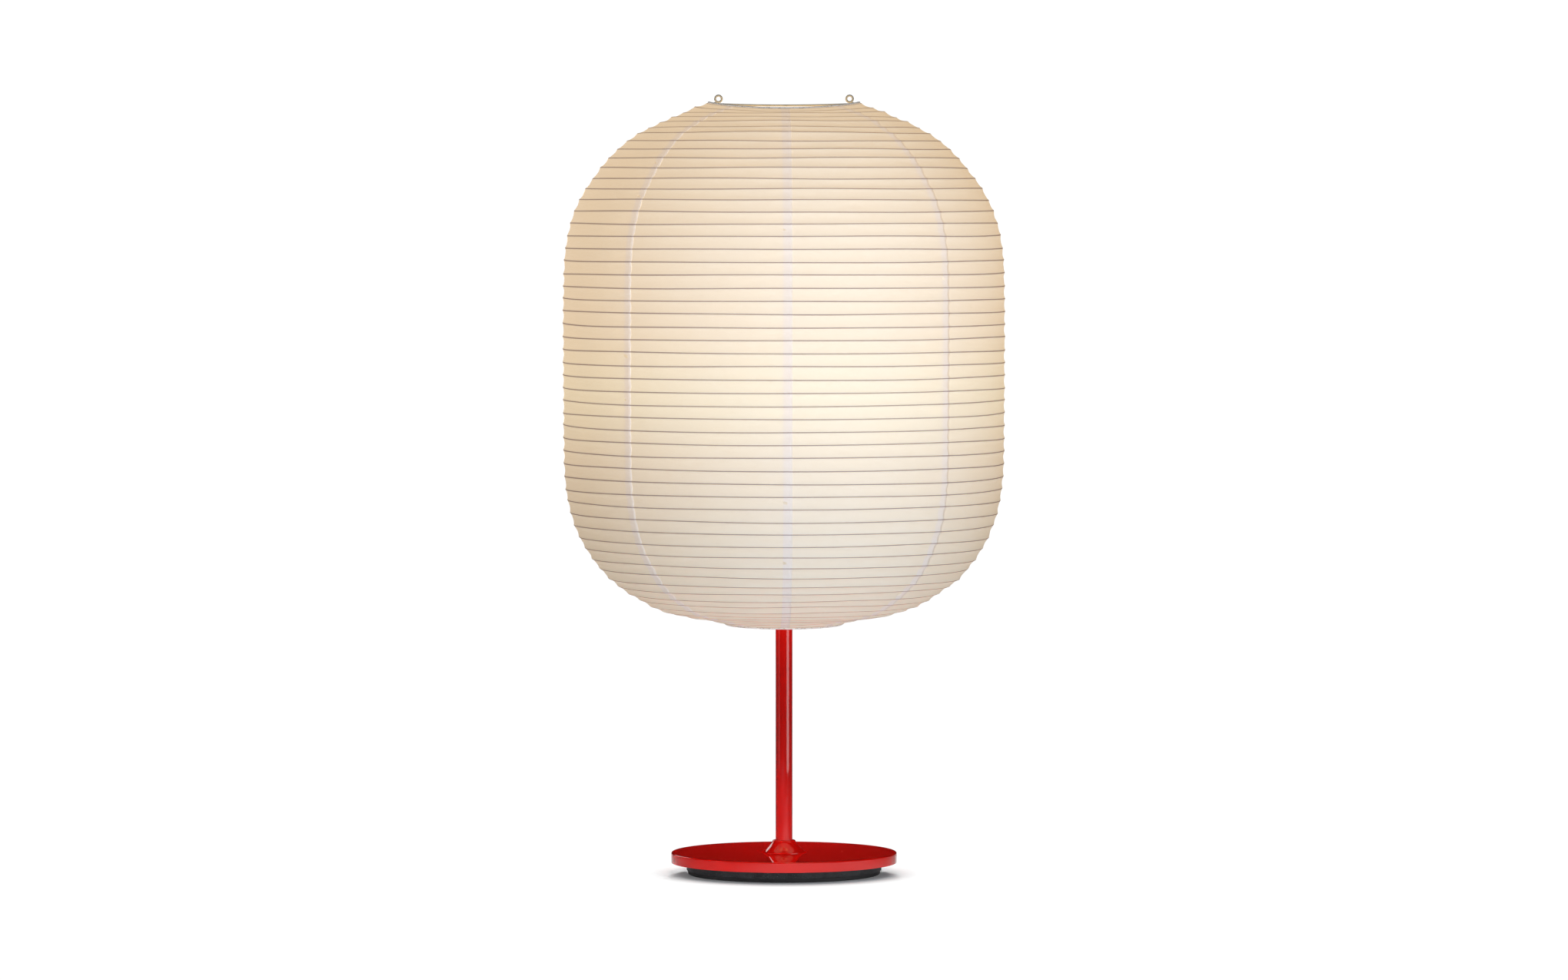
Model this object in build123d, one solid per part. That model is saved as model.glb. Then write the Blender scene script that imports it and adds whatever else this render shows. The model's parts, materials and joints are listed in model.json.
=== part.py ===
"""Paper lantern table lamp: weighted lacquered base, pole, lampholder, bulb, wire stretcher, paper shade.

Millimetres, +Z up, origin at the centre of the foot, front of the lamp towards -Y.
"""
from build123d import *
import math
import os

# ------------------------------------------------------------------ driving dimensions
# base
FOOT_INSET = 1.3
FOOT_BORE_STEP = 2.4
FOOT_THICKNESS = 3.5
FOOT_EDGE_ROUND = 1.2
WEIGHT_RADIUS = 92.5
WEIGHT_RIM_HEIGHT = 7.5
WEIGHT_WEB = 3.6
WEIGHT_EDGE_CHAMFER = 0.6
CAVITY_RADIUS = 52.0
COVER_RADIUS = 107.0
COVER_HEIGHT = 9.6
COVER_WALL = 1.5
COVER_EDGE_ROUND = 1.0
PLATE_THICKNESS = 1.0
PLATE_SCREW_COUNT = 3
PLATE_SCREW_FIRST_DEG = 30.0
PLATE_SCREW_INSET = 3.8
PLATE_SCREW_RADIUS = 1.5
PLATE_SCREW_LENGTH = 6.0
PLATE_SCREW_HEAD_RADIUS = 2.8
PLATE_SCREW_HEAD = 1.5
PLATE_SCREW_SLOT_WIDTH = 0.7
PLATE_SCREW_SLOT_DEPTH = 0.6

# cord inlet at the back; the cord itself is not part of the model
INLET_BORE_RADIUS = 2.8
GLAND_WALL = 0.65
GLAND_LENGTH = 10.0
GLAND_LIP = 1.2
GLAND_LIP_RADIUS = 3.7

# pole and collar
POLE_RADIUS = 8.0
POLE_WALL = 1.2
POLE_LENGTH = 324.4
PLUG_LENGTH = 16.0
SPIGOT_RADIUS = 5.0
SPIGOT_BORE_RADIUS = 3.4
HEAD_FLANGE = 1.5
HEAD_SPIGOT = 9.0
FOOT_SPIGOT_BELOW_NUT = 1.0
NUT_ACROSS_FLATS = 14.0
NUT_HEIGHT = 4.0
WASHER_RADIUS = 10.0
WASHER_THICKNESS = 1.0
COLLAR_SPREAD = 10.6
COLLAR_FOOT_EDGE = 0.4
COLLAR_NECK_WALL = 3.0
COLLAR_HEIGHT = 11.6
COLLAR_TOP_ROUND = 1.3
COLLAR_FLARE = 0.8

# wiring
LEAD_RADIUS = 1.1
LEAD_BEND = 3.0
LEAD_TURN_CLEARANCE = 0.45
BLOCK_PITCH = 8.0
BLOCK_DEPTH = 16.0
BLOCK_HEIGHT = 9.5
BLOCK_SETBACK = 22.0
BLOCK_SLOT_WIDTH = 1.2
SLEEVE_WALL = 0.55
LEAD_CLEARANCE = 0.2
SLEEVE_LENGTH = 14.0
SLEEVE_FLOOR = 1.0
CLAMP_SCREW_RADIUS = 1.0
BLOCK_SCREW_RADIUS = 1.4
BLOCK_SCREW_HEAD_RADIUS = 2.8
BLOCK_SCREW_HEAD = 1.4
EARTH_SCREW_OFFSET = 30.0
EARTH_SCREW_RADIUS = 2.0
EARTH_SCREW_HEAD_RADIUS = 3.6
EARTH_SCREW_HEAD = 2.2
EARTH_SCREW_SLOT_WIDTH = 0.8
EARTH_SCREW_SLOT_DEPTH = 0.8
EARTH_SCREW_DEPTH = 3.0
TAG_THICKNESS = 0.8
TAG_RING_RADIUS = 4.2
TAG_BARREL_WALL = 0.65
TAG_BARREL_LENGTH = 5.5
TAG_NECK_OVERLAP = 1.0

# lampholder
CAP_BUSH_RADIUS = 9.0
CAP_BUSH_HEIGHT = 8.0
CAP_HEIGHT = 17.5
CAP_WALL = 2.0
CAP_JOINT_WALL = 1.6
GRUB_SCREW_RADIUS = 1.5
GRUB_SLOT_WIDTH = 0.5
GRUB_SLOT_DEPTH = 0.8
SKIRT_JOINT_OVERLAP = 5.0
SKIRT_PLAIN = 4.0
SHOULDER_LAND = 4.25
SHOULDER_THICKNESS = 3.0
SKIRT_WALL = 3.4
THREAD_LENGTH = 24.0
SKIRT_MOUTH_STEP = 0.75
SKIRT_MOUTH_HEIGHT = 5.0
CORE_SIDE_WALL = 2.65
CORE_BASE = 8.0
CORE_DROP = 2.0
CORE_WALL = 2.3
SHELL_BORE_RADIUS = 13.2
SHELL_WALL = 0.4
SHELL_HEIGHT = 28.0
SHELL_EYE_RADIUS = 9.0
CONTACT_WIDTH = 5.0
CONTACT_THICKNESS = 0.4
CONTACT_RISE = 5.6
CONTACT_MARGIN = 1.0
CORE_SCREW_OFFSET = 9.6
CORE_SCREW_RADIUS = 1.2
CORE_SCREW_HEAD_RADIUS = 2.4
CORE_SCREW_HEAD = 1.7

# bulb
BULB_CAP_CLEARANCE = 0.07
BULB_CAP_WALL = 0.4
BULB_CAP_HEIGHT = 22.0
BULB_CAP_LIP = 1.0
THREAD_PITCH = 3.629
THREAD_DEPTH = 0.75
BULB_CONTACT_RADIUS = 4.4
BULB_CONTACT_HEIGHT = 1.2
BULB_INSULATOR_HEIGHT = 2.8
BULB_RADIUS = 18.75
BULB_WALL = 1.3
HOUSING_NECK_STEP = 0.87
HOUSING_CONE_HEIGHT = 12.0
HOUSING_HEIGHT = 28.0
GLOBE_HEIGHT = 61.0
LED_BOARD_THICKNESS = 1.5
LED_COUNT = 10
LED_SIZE = 2.8
LED_HEIGHT = 0.8
LED_RING = 11.5
DRIVER_WIDTH = 16.0
DRIVER_HEIGHT = 20.0
DRIVER_THICKNESS = 1.6

# stretcher
STRETCHER_WIRE_RADIUS = 1.0
SEAT_WASHER_THICKNESS = 1.0
SEAT_RING_WIDTH = 7.75
SEAT_RING_THICKNESS = 1.6
SEAT_CLEARANCE = 0.5
RING_NUT_WIDTH = 7.25
RING_NUT_GRIP_WALL = 4.75
RING_NUT_FLANGE = 2.5
RING_NUT_HEIGHT = 8.4
RING_NUT_GRIPS = 16
RING_NUT_GRIP_DEPTH = 1.2
RING_NUT_GRIP_CUT = 3.0
EYELET_RADIUS = 3.1
EYELET_INSET = 9.0
EYELET_RISE = 3.7
BAR_SAG = 1.2
TOP_HOOK_SHORTFALL = 0.3
BOTTOM_HOOK_RUN = 5.6
WIRE_BEND = 4.0

# shade
SHADE_RADIUS = 209.4
SHADE_RISE = 359.2
SHADE_DROP = 133.9
SHADE_WAIST_RISE = 108.0
TOP_RIM_RADIUS = 71.0
TOP_RIM_WIRE_RADIUS = 0.9
BOTTOM_RIM_RADIUS = 55.0
BOTTOM_RIM_WIRE_RADIUS = 0.8
PAPER_THICKNESS = 0.5
HOOP_SECTION = 0.9
HOOP_PITCH = 12.0
GORE_COUNT = 8
FIRST_SEAM_DEG = -89.0
# form of the outline between the widest level and each mouth: (share of height, share of growth)
TOP_FORM = ((0.30, 0.999), (0.46, 0.982), (0.63, 0.892), (0.75, 0.748), (0.855, 0.560), (0.922, 0.352),
            (0.966, 0.166))
BOTTOM_FORM = ((0.28, 0.998), (0.46, 0.986), (0.60, 0.940), (0.73, 0.838), (0.822, 0.718), (0.888, 0.584),
               (0.938, 0.436), (0.972, 0.228))

# clearances
FIT = 0.05
PRESS = 0.02
LOOSE = 0.4

# ------------------------------------------------------------------ radii that follow from what they fit
PLATE_SCREW_RING = CAVITY_RADIUS + PLATE_SCREW_INSET
PLATE_RADIUS = PLATE_SCREW_RING + PLATE_SCREW_INSET
FOOT_RADIUS = WEIGHT_RADIUS - FOOT_INSET
FOOT_BORE_RADIUS = PLATE_RADIUS + FOOT_BORE_STEP
POLE_BORE_RADIUS = POLE_RADIUS - POLE_WALL
COLLAR_NECK_RADIUS = POLE_RADIUS + COLLAR_NECK_WALL
COLLAR_FOOT_RADIUS = COLLAR_NECK_RADIUS + COLLAR_SPREAD
SLEEVE_BORE_RADIUS = LEAD_RADIUS + LEAD_CLEARANCE
SLEEVE_RADIUS = SLEEVE_BORE_RADIUS + SLEEVE_WALL
TAG_BARREL_RADIUS = LEAD_RADIUS + FIT + TAG_BARREL_WALL
CORE_RADIUS = SHELL_BORE_RADIUS + SHELL_WALL + FIT + CORE_SIDE_WALL
BULB_CAP_RADIUS = SHELL_BORE_RADIUS - BULB_CAP_CLEARANCE
HOUSING_NECK_RADIUS = BULB_CAP_RADIUS + HOUSING_NECK_STEP
CAP_RADIUS = CORE_RADIUS + FIT + CAP_JOINT_WALL + FIT + CAP_WALL
THREAD_RADIUS = CORE_RADIUS + FIT + SKIRT_WALL
SKIRT_MOUTH_RADIUS = THREAD_RADIUS - SKIRT_MOUTH_STEP
SHOULDER_RADIUS = THREAD_RADIUS + SHOULDER_LAND
SEAT_RING_RADIUS = THREAD_RADIUS + SEAT_RING_WIDTH
RING_NUT_RADIUS = THREAD_RADIUS + RING_NUT_WIDTH
RING_NUT_GRIP_RADIUS = THREAD_RADIUS + RING_NUT_GRIP_WALL
EYELET_OFFSET = TOP_RIM_RADIUS - EYELET_INSET
SIDE_WIRE_BOTTOM = BOTTOM_RIM_RADIUS - BOTTOM_HOOK_RUN

# ------------------------------------------------------------------ levels
Z_WEIGHT = FOOT_THICKNESS
Z_COVER = Z_WEIGHT + WEIGHT_RIM_HEIGHT
Z_COVER_TOP = Z_COVER + COVER_HEIGHT
Z_WEIGHT_TOP = Z_COVER_TOP - COVER_WALL
Z_CEILING = Z_WEIGHT_TOP - WEIGHT_WEB
Z_NUT_TOP = Z_CEILING - WASHER_THICKNESS
Z_FOOT_SPIGOT = Z_NUT_TOP - NUT_HEIGHT - FOOT_SPIGOT_BELOW_NUT
Z_POLE_TOP = Z_COVER_TOP + POLE_LENGTH
Z_CAP = Z_POLE_TOP + HEAD_FLANGE
Z_HEAD_SPIGOT = Z_CAP + HEAD_SPIGOT
Z_SKIRT = Z_CAP + CAP_HEIGHT
Z_SHOULDER = Z_SKIRT + SKIRT_PLAIN + SHOULDER_THICKNESS
Z_THREAD_TOP = Z_SHOULDER + THREAD_LENGTH
Z_SKIRT_TOP = Z_THREAD_TOP + SKIRT_MOUTH_HEIGHT
Z_CORE = Z_SKIRT - CORE_DROP
Z_SHELL = Z_CORE + CORE_BASE
Z_SHELL_TOP = Z_SHELL + SHELL_HEIGHT
Z_BULB = Z_SHELL + CONTACT_THICKNESS + CONTACT_RISE
Z_BULB_CAP = Z_BULB + BULB_CONTACT_HEIGHT + BULB_INSULATOR_HEIGHT
Z_HOUSING = Z_BULB_CAP + BULB_CAP_HEIGHT
Z_GLOBE = Z_HOUSING + HOUSING_HEIGHT
Z_SEAT = Z_SHOULDER + SEAT_WASHER_THICKNESS
Z_SEAT_TOP = Z_SEAT + SEAT_RING_THICKNESS
Z_SPOKE = (Z_SEAT + Z_SEAT_TOP) / 2
Z_TOP_RIM = Z_SEAT + SHADE_RISE
Z_BOTTOM_RIM = Z_SEAT - SHADE_DROP
Z_WAIST = Z_SEAT + SHADE_WAIST_RISE
Z_EYELET = Z_TOP_RIM + EYELET_RISE

CENTRED_UP = (Align.CENTER, Align.CENTER, Align.MIN)


# ------------------------------------------------------------------ helpers
def rod(radius, low, high, x=0.0, y=0.0):
    """An upright cylinder between two levels."""
    return Pos(x, y, low) * Cylinder(radius, high - low, align=CENTRED_UP)


def ring(outer, inner, low, high, x=0.0, y=0.0):
    """An upright tube between two levels."""
    return rod(outer, low, high, x, y) - rod(inner, low, high, x, y)


def along_y(radius, start, end, x, z):
    """A cylinder that lies along Y."""
    return Pos(x, start, z) * Rot(-90, 0, 0) * Cylinder(radius, end - start, align=CENTRED_UP)


def along_x(radius, start, end, y, z):
    """A cylinder that lies along X."""
    return Pos(start, y, z) * Rot(0, 90, 0) * Cylinder(radius, end - start, align=CENTRED_UP)


def turned(points):
    """A solid of revolution about Z from (radius, height) corners."""
    return revolve(Plane.XZ * make_face(Polyline(*points, close=True)), Axis.Z)


def bent_rod(points, bends, radius):
    """A round rod along straight runs joined by tangent arcs."""
    path = FilletPolyline(*points, radius=bends)
    section = Plane(origin=path @ 0, z_dir=path % 0) * Circle(radius)
    return sweep(section, path=path)


def straight_rod(start, end, radius):
    """A round rod between two points."""
    path = Line(start, end)
    return sweep(Plane(origin=start, z_dir=path % 0) * Circle(radius), path=path)


def mirrored(shape):
    """The shape's left-hand copy."""
    return mirror(shape, about=Plane.YZ)


def group(shapes):
    """Separate solids as one node."""
    solids = [solid for shape in shapes for solid in shape.solids()]
    return Compound(children=solids)


# ------------------------------------------------------------------ base
def base_cover():
    """Pressed steel cover with a turned-down rim and a hole for the pole's spigot."""
    blank = rod(COVER_RADIUS, Z_COVER, Z_COVER_TOP)
    outside = fillet(blank.edges().group_by(Axis.Z)[-1], COVER_EDGE_ROUND)
    inside = rod(COVER_RADIUS - COVER_WALL, Z_COVER, Z_COVER_TOP - COVER_WALL)
    return outside - inside - rod(SPIGOT_RADIUS + FIT, Z_COVER, Z_COVER_TOP)


def plate_screw_places():
    """Centres of the screws that hold the bottom plate."""
    for index in range(PLATE_SCREW_COUNT):
        angle = math.radians(PLATE_SCREW_FIRST_DEG + 360 * index / PLATE_SCREW_COUNT)
        yield PLATE_SCREW_RING * math.cos(angle), PLATE_SCREW_RING * math.sin(angle)


def inlet_level():
    """Height of the cord inlet's axis, in the middle of the visible rim."""
    return Z_WEIGHT + WEIGHT_RIM_HEIGHT / 2


def base_weight():
    """Cast iron weight: wide part inside the cover, black rim under it, wiring cavity below."""
    upper = rod(COVER_RADIUS - COVER_WALL - LOOSE, Z_COVER, Z_WEIGHT_TOP)
    blank = rod(WEIGHT_RADIUS, Z_WEIGHT, Z_COVER)
    lower = chamfer(blank.edges().group_by(Axis.Z)[0], WEIGHT_EDGE_CHAMFER)
    body = lower + upper
    body -= rod(CAVITY_RADIUS, Z_WEIGHT, Z_CEILING)
    body -= rod(PLATE_RADIUS + LOOSE, Z_WEIGHT, Z_WEIGHT + PLATE_THICKNESS)
    body -= rod(SPIGOT_RADIUS + FIT, Z_CEILING, Z_WEIGHT_TOP)
    gland_radius = INLET_BORE_RADIUS + GLAND_WALL + PRESS
    body -= along_y(gland_radius, CAVITY_RADIUS / 2, COVER_RADIUS, 0, inlet_level())
    body -= along_y(GLAND_LIP_RADIUS, WEIGHT_RADIUS - GLAND_LIP, COVER_RADIUS, 0, inlet_level())
    for x, y in plate_screw_places():
        body -= rod(PLATE_SCREW_RADIUS, Z_WEIGHT, Z_WEIGHT + PLATE_SCREW_LENGTH + LOOSE, x, y)
    screw_hole_top = Z_CEILING + EARTH_SCREW_DEPTH
    body -= rod(EARTH_SCREW_RADIUS, Z_CEILING, screw_hole_top, EARTH_SCREW_OFFSET)
    body -= rod(BLOCK_SCREW_RADIUS, Z_CEILING, screw_hole_top, BLOCK_PITCH / 2, block_middle())
    return body


def foot_ring():
    """Soft foot ring under the weight."""
    blank = ring(FOOT_RADIUS, FOOT_BORE_RADIUS, 0, Z_WEIGHT)
    outer_edge = blank.edges().group_by(Axis.Z)[0].sort_by(SortBy.LENGTH)[-1]
    return fillet(outer_edge, FOOT_EDGE_ROUND)


def bottom_plate():
    """Steel plate that closes the wiring cavity."""
    plate = rod(PLATE_RADIUS, Z_WEIGHT, Z_WEIGHT + PLATE_THICKNESS)
    for x, y in plate_screw_places():
        plate -= rod(PLATE_SCREW_RADIUS + FIT, Z_WEIGHT, Z_WEIGHT + PLATE_THICKNESS, x, y)
    return plate


def plate_screws():
    """Pan head screws of the bottom plate."""
    low = Z_WEIGHT - PLATE_SCREW_HEAD
    cutter = Box(2 * PLATE_SCREW_HEAD_RADIUS, PLATE_SCREW_SLOT_WIDTH, 2 * PLATE_SCREW_SLOT_DEPTH)
    screws = []
    for x, y in plate_screw_places():
        head = rod(PLATE_SCREW_HEAD_RADIUS, low, Z_WEIGHT, x, y)
        slot = Pos(x, y, low) * cutter
        shank = rod(PLATE_SCREW_RADIUS - FIT, Z_WEIGHT, Z_WEIGHT + PLATE_SCREW_LENGTH, x, y)
        screws.append(head - slot + shank)
    return group(screws)


def cord_gland():
    """Grommet in the back of the weight's rim, where a mains cord enters."""
    level = inlet_level()
    start = WEIGHT_RADIUS - GLAND_LENGTH
    sleeve = along_y(INLET_BORE_RADIUS + GLAND_WALL, start, WEIGHT_RADIUS, 0, level)
    lip = along_y(GLAND_LIP_RADIUS - PRESS, WEIGHT_RADIUS - GLAND_LIP, WEIGHT_RADIUS + GLAND_LIP, 0, level)
    return sleeve + lip - along_y(INLET_BORE_RADIUS, start, WEIGHT_RADIUS + GLAND_LIP, 0, level)


# ------------------------------------------------------------------ wiring in the base
def block_middle():
    """Y of the terminal block's middle."""
    return BLOCK_SETBACK + BLOCK_DEPTH / 2


def sleeve_level():
    """Height of the terminal sleeves' axes."""
    return Z_CEILING - BLOCK_HEIGHT + SLEEVE_FLOOR + SLEEVE_RADIUS


def pole_places():
    """X of the three terminals: live, neutral, earth."""
    return [-BLOCK_PITCH, 0.0, BLOCK_PITCH]


def clamp_screw_places():
    """Centres of the six clamping screws."""
    for x in pole_places():
        for side in (-1, 1):
            yield x, block_middle() + side * SLEEVE_LENGTH / 4


def terminal_block():
    """Insulating body of the three-way terminal block."""
    width = 3 * BLOCK_PITCH
    base = Z_CEILING - BLOCK_HEIGHT
    body = Pos(0, block_middle(), base) * Box(width, BLOCK_DEPTH, BLOCK_HEIGHT, align=CENTRED_UP)
    for x in pole_places():
        body -= along_y(SLEEVE_RADIUS, BLOCK_SETBACK, BLOCK_SETBACK + BLOCK_DEPTH, x, sleeve_level())
    for x in pole_places()[:2]:
        middle = x + BLOCK_PITCH / 2
        slot = Box(BLOCK_SLOT_WIDTH, BLOCK_DEPTH, BLOCK_HEIGHT / 3, align=CENTRED_UP)
        body -= Pos(middle, block_middle(), base) * slot
    for x, y in clamp_screw_places():
        body -= rod(CLAMP_SCREW_RADIUS + FIT, base, sleeve_level(), x, y)
    return body - rod(BLOCK_SCREW_RADIUS + FIT, base, Z_CEILING, BLOCK_PITCH / 2, block_middle())


def terminal_sleeves():
    """Brass sleeves inside the block."""
    start = block_middle() - SLEEVE_LENGTH / 2
    sleeves = []
    for x in pole_places():
        sleeve = along_y(SLEEVE_RADIUS - PRESS, start, start + SLEEVE_LENGTH, x, sleeve_level())
        sleeve -= along_y(SLEEVE_BORE_RADIUS, start, start + SLEEVE_LENGTH, x, sleeve_level())
        for place, y in clamp_screw_places():
            if place == x:
                sleeve -= rod(CLAMP_SCREW_RADIUS, sleeve_level() - BLOCK_HEIGHT, sleeve_level(), x, y)
        sleeves.append(sleeve)
    return group(sleeves)


def terminal_screws():
    """Clamping screws, driven from below, and the screw that fixes the block."""
    low = Z_CEILING - BLOCK_HEIGHT
    tip = sleeve_level() - LEAD_RADIUS - FIT
    screws = [rod(CLAMP_SCREW_RADIUS - PRESS, low, tip, x, y) for x, y in clamp_screw_places()]
    x, y = BLOCK_PITCH / 2, block_middle()
    head = rod(BLOCK_SCREW_HEAD_RADIUS, low - BLOCK_SCREW_HEAD, low, x, y)
    screws.append(head + rod(BLOCK_SCREW_RADIUS - PRESS, low, Z_CEILING + EARTH_SCREW_DEPTH - LOOSE, x, y))
    return group(screws)


def earth_screw():
    """Screw that holds the earth tag against the weight."""
    tag_face = Z_CEILING - TAG_THICKNESS
    head = rod(EARTH_SCREW_HEAD_RADIUS, tag_face - EARTH_SCREW_HEAD, tag_face, EARTH_SCREW_OFFSET)
    cutter = Box(2 * EARTH_SCREW_HEAD_RADIUS, EARTH_SCREW_SLOT_WIDTH, 2 * EARTH_SCREW_SLOT_DEPTH)
    slot = Pos(EARTH_SCREW_OFFSET, 0, tag_face - EARTH_SCREW_HEAD) * cutter
    tip = Z_CEILING + EARTH_SCREW_DEPTH - LOOSE
    return head - slot + rod(EARTH_SCREW_RADIUS - PRESS, tag_face, tip, EARTH_SCREW_OFFSET)


def tag_barrel_end():
    """X of the open end of the earth tag's barrel."""
    return EARTH_SCREW_OFFSET - TAG_RING_RADIUS - TAG_BARREL_LENGTH


def tag_level():
    """Height of the earth tag's barrel."""
    return Z_CEILING - TAG_BARREL_RADIUS


def earth_tag():
    """Crimped ring tag on the earth lead."""
    low = Z_CEILING - TAG_THICKNESS
    start = tag_barrel_end()
    tag = rod(TAG_RING_RADIUS, low, Z_CEILING, EARTH_SCREW_OFFSET)
    tag += along_x(TAG_BARREL_RADIUS, start, start + TAG_BARREL_LENGTH, 0, tag_level())
    neck = Box(TAG_RING_RADIUS, 2 * TAG_BARREL_RADIUS, TAG_THICKNESS, align=(Align.MIN, Align.CENTER, Align.MIN))
    tag += Pos(start + TAG_BARREL_LENGTH - TAG_NECK_OVERLAP, 0, low) * neck
    tag -= rod(EARTH_SCREW_RADIUS + FIT, low, Z_CEILING, EARTH_SCREW_OFFSET)
    return tag - along_x(LEAD_RADIUS + FIT, start, start + TAG_BARREL_LENGTH, 0, tag_level())


def earth_lead():
    """Short lead from the block's third terminal to the earth tag."""
    x = pole_places()[2]
    level = sleeve_level()
    points = [
        (x, BLOCK_SETBACK + BLOCK_DEPTH / 3, level),
        (x, BLOCK_SETBACK - 3 * LEAD_BEND, level),
        (x + 2 * LEAD_BEND, 0, tag_level()),
        (tag_barrel_end() + TAG_BARREL_LENGTH / 2, 0, tag_level()),
    ]
    return bent_rod(points, 2 * LEAD_BEND, LEAD_RADIUS)


def pole_lead(side):
    """Lead from the terminal block up the pole to the lampholder; side is -1 for live, 1 for neutral."""
    in_bore = side * (LEAD_RADIUS + LOOSE)
    terminal = pole_places()[0] if side < 0 else pole_places()[1]
    low = Z_FOOT_SPIGOT - LEAD_BEND - LEAD_TURN_CLEARANCE
    screw_face = Z_CORE - CORE_SCREW_HEAD - LEAD_RADIUS
    points = [
        (terminal, BLOCK_SETBACK + BLOCK_DEPTH / 3, sleeve_level()),
        (terminal, BLOCK_SETBACK - 3 * LEAD_BEND, sleeve_level()),
        (in_bore, 0, low),
        (in_bore, 0, screw_face),
        (side * CORE_SCREW_OFFSET, 0, screw_face),
    ]
    return bent_rod(points, [2 * LEAD_BEND, LEAD_BEND, LEAD_BEND], LEAD_RADIUS)


# ------------------------------------------------------------------ pole
def foot_washer():
    """Washer under the weight's web."""
    return ring(WASHER_RADIUS, SPIGOT_RADIUS + FIT, Z_NUT_TOP, Z_CEILING)


def foot_nut():
    """Thin hexagon nut that clamps pole, cover and weight together."""
    blank = Pos(0, 0, Z_NUT_TOP - NUT_HEIGHT) * extrude(
        RegularPolygon(NUT_ACROSS_FLATS / 2, 6, major_radius=False), NUT_HEIGHT
    )
    return blank - rod(SPIGOT_RADIUS + PRESS, Z_NUT_TOP - NUT_HEIGHT, Z_NUT_TOP)


def pole_foot_plug():
    """Turned plug in the pole's foot with a hollow threaded spigot below it."""
    plug = rod(POLE_BORE_RADIUS - PRESS, Z_COVER_TOP, Z_COVER_TOP + PLUG_LENGTH)
    plug += rod(SPIGOT_RADIUS, Z_FOOT_SPIGOT, Z_COVER_TOP)
    return plug - rod(SPIGOT_BORE_RADIUS, Z_FOOT_SPIGOT, Z_COVER_TOP + PLUG_LENGTH)


def pole():
    """Lacquered steel tube."""
    return ring(POLE_RADIUS, POLE_BORE_RADIUS, Z_COVER_TOP, Z_POLE_TOP)


def collar():
    """Flared collar over the pole's foot, with a rounded neck."""
    top = Z_COVER_TOP + COLLAR_HEIGHT
    inner = POLE_RADIUS + FIT
    lip = (COLLAR_FOOT_RADIUS, Z_COVER_TOP + COLLAR_FOOT_EDGE)
    neck = (COLLAR_NECK_RADIUS, top - COLLAR_TOP_ROUND)
    hollow = ((lip[0] + neck[0]) / 2 - COLLAR_FLARE, (lip[1] + neck[1]) / 2 - COLLAR_FLARE)
    crown = (COLLAR_NECK_RADIUS - COLLAR_TOP_ROUND, top)
    outline = [
        Polyline(crown, (inner, top), (inner, Z_COVER_TOP), (COLLAR_FOOT_RADIUS, Z_COVER_TOP), lip),
        ThreePointArc(lip, hollow, neck),
        RadiusArc(neck, crown, -COLLAR_TOP_ROUND),
    ]
    return revolve(Plane.XZ * make_face(outline), Axis.Z)


def pole_head_plug():
    """Turned plug in the pole's head with a flange and the lampholder's spigot."""
    plug = rod(POLE_BORE_RADIUS - PRESS, Z_POLE_TOP - PLUG_LENGTH, Z_POLE_TOP)
    plug += rod(POLE_RADIUS, Z_POLE_TOP, Z_CAP)
    plug += rod(SPIGOT_RADIUS, Z_CAP, Z_HEAD_SPIGOT)
    return plug - rod(SPIGOT_BORE_RADIUS, Z_POLE_TOP - PLUG_LENGTH, Z_HEAD_SPIGOT)


# ------------------------------------------------------------------ lampholder
def grub_level():
    """Height of the grub screw that locks the lampholder."""
    return Z_CAP + CAP_BUSH_HEIGHT / 2


def holder_cap():
    """Domed lower half of the lampholder with its threaded bush."""
    top = Z_SKIRT
    outside = turned([
        (0, Z_CAP),
        (CAP_BUSH_RADIUS, Z_CAP),
        (CAP_BUSH_RADIUS + CAP_WALL, Z_CAP + CAP_WALL),
        (CAP_RADIUS - CAP_WALL / 2, top - 2 * SKIRT_JOINT_OVERLAP),
        (CAP_RADIUS, top - 2 * SKIRT_JOINT_OVERLAP + CAP_WALL),
        (CAP_RADIUS, top),
        (0, top),
    ])
    inner = CAP_RADIUS - CAP_WALL
    hollow = turned([
        (0, Z_CAP + CAP_BUSH_HEIGHT),
        (CAP_BUSH_RADIUS + CAP_WALL, Z_CAP + CAP_BUSH_HEIGHT),
        (inner, top - SKIRT_JOINT_OVERLAP - CAP_WALL),
        (inner, top),
        (0, top),
    ])
    bore = rod(SPIGOT_RADIUS + PRESS, Z_CAP, Z_CAP + CAP_BUSH_HEIGHT)
    grub = along_y(GRUB_SCREW_RADIUS, SPIGOT_RADIUS, CAP_RADIUS, 0, grub_level())
    return outside - hollow - bore - grub


def holder_grub_screw():
    """Grub screw that locks the lampholder on its spigot."""
    start = SPIGOT_RADIUS + FIT
    screw = along_y(GRUB_SCREW_RADIUS - PRESS, start, CAP_BUSH_RADIUS + CAP_WALL, 0, grub_level())
    cutter = Box(GRUB_SLOT_WIDTH, 2 * GRUB_SLOT_DEPTH, 2 * GRUB_SCREW_RADIUS)
    return screw - Pos(0, CAP_BUSH_RADIUS + CAP_WALL, grub_level()) * cutter


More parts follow.
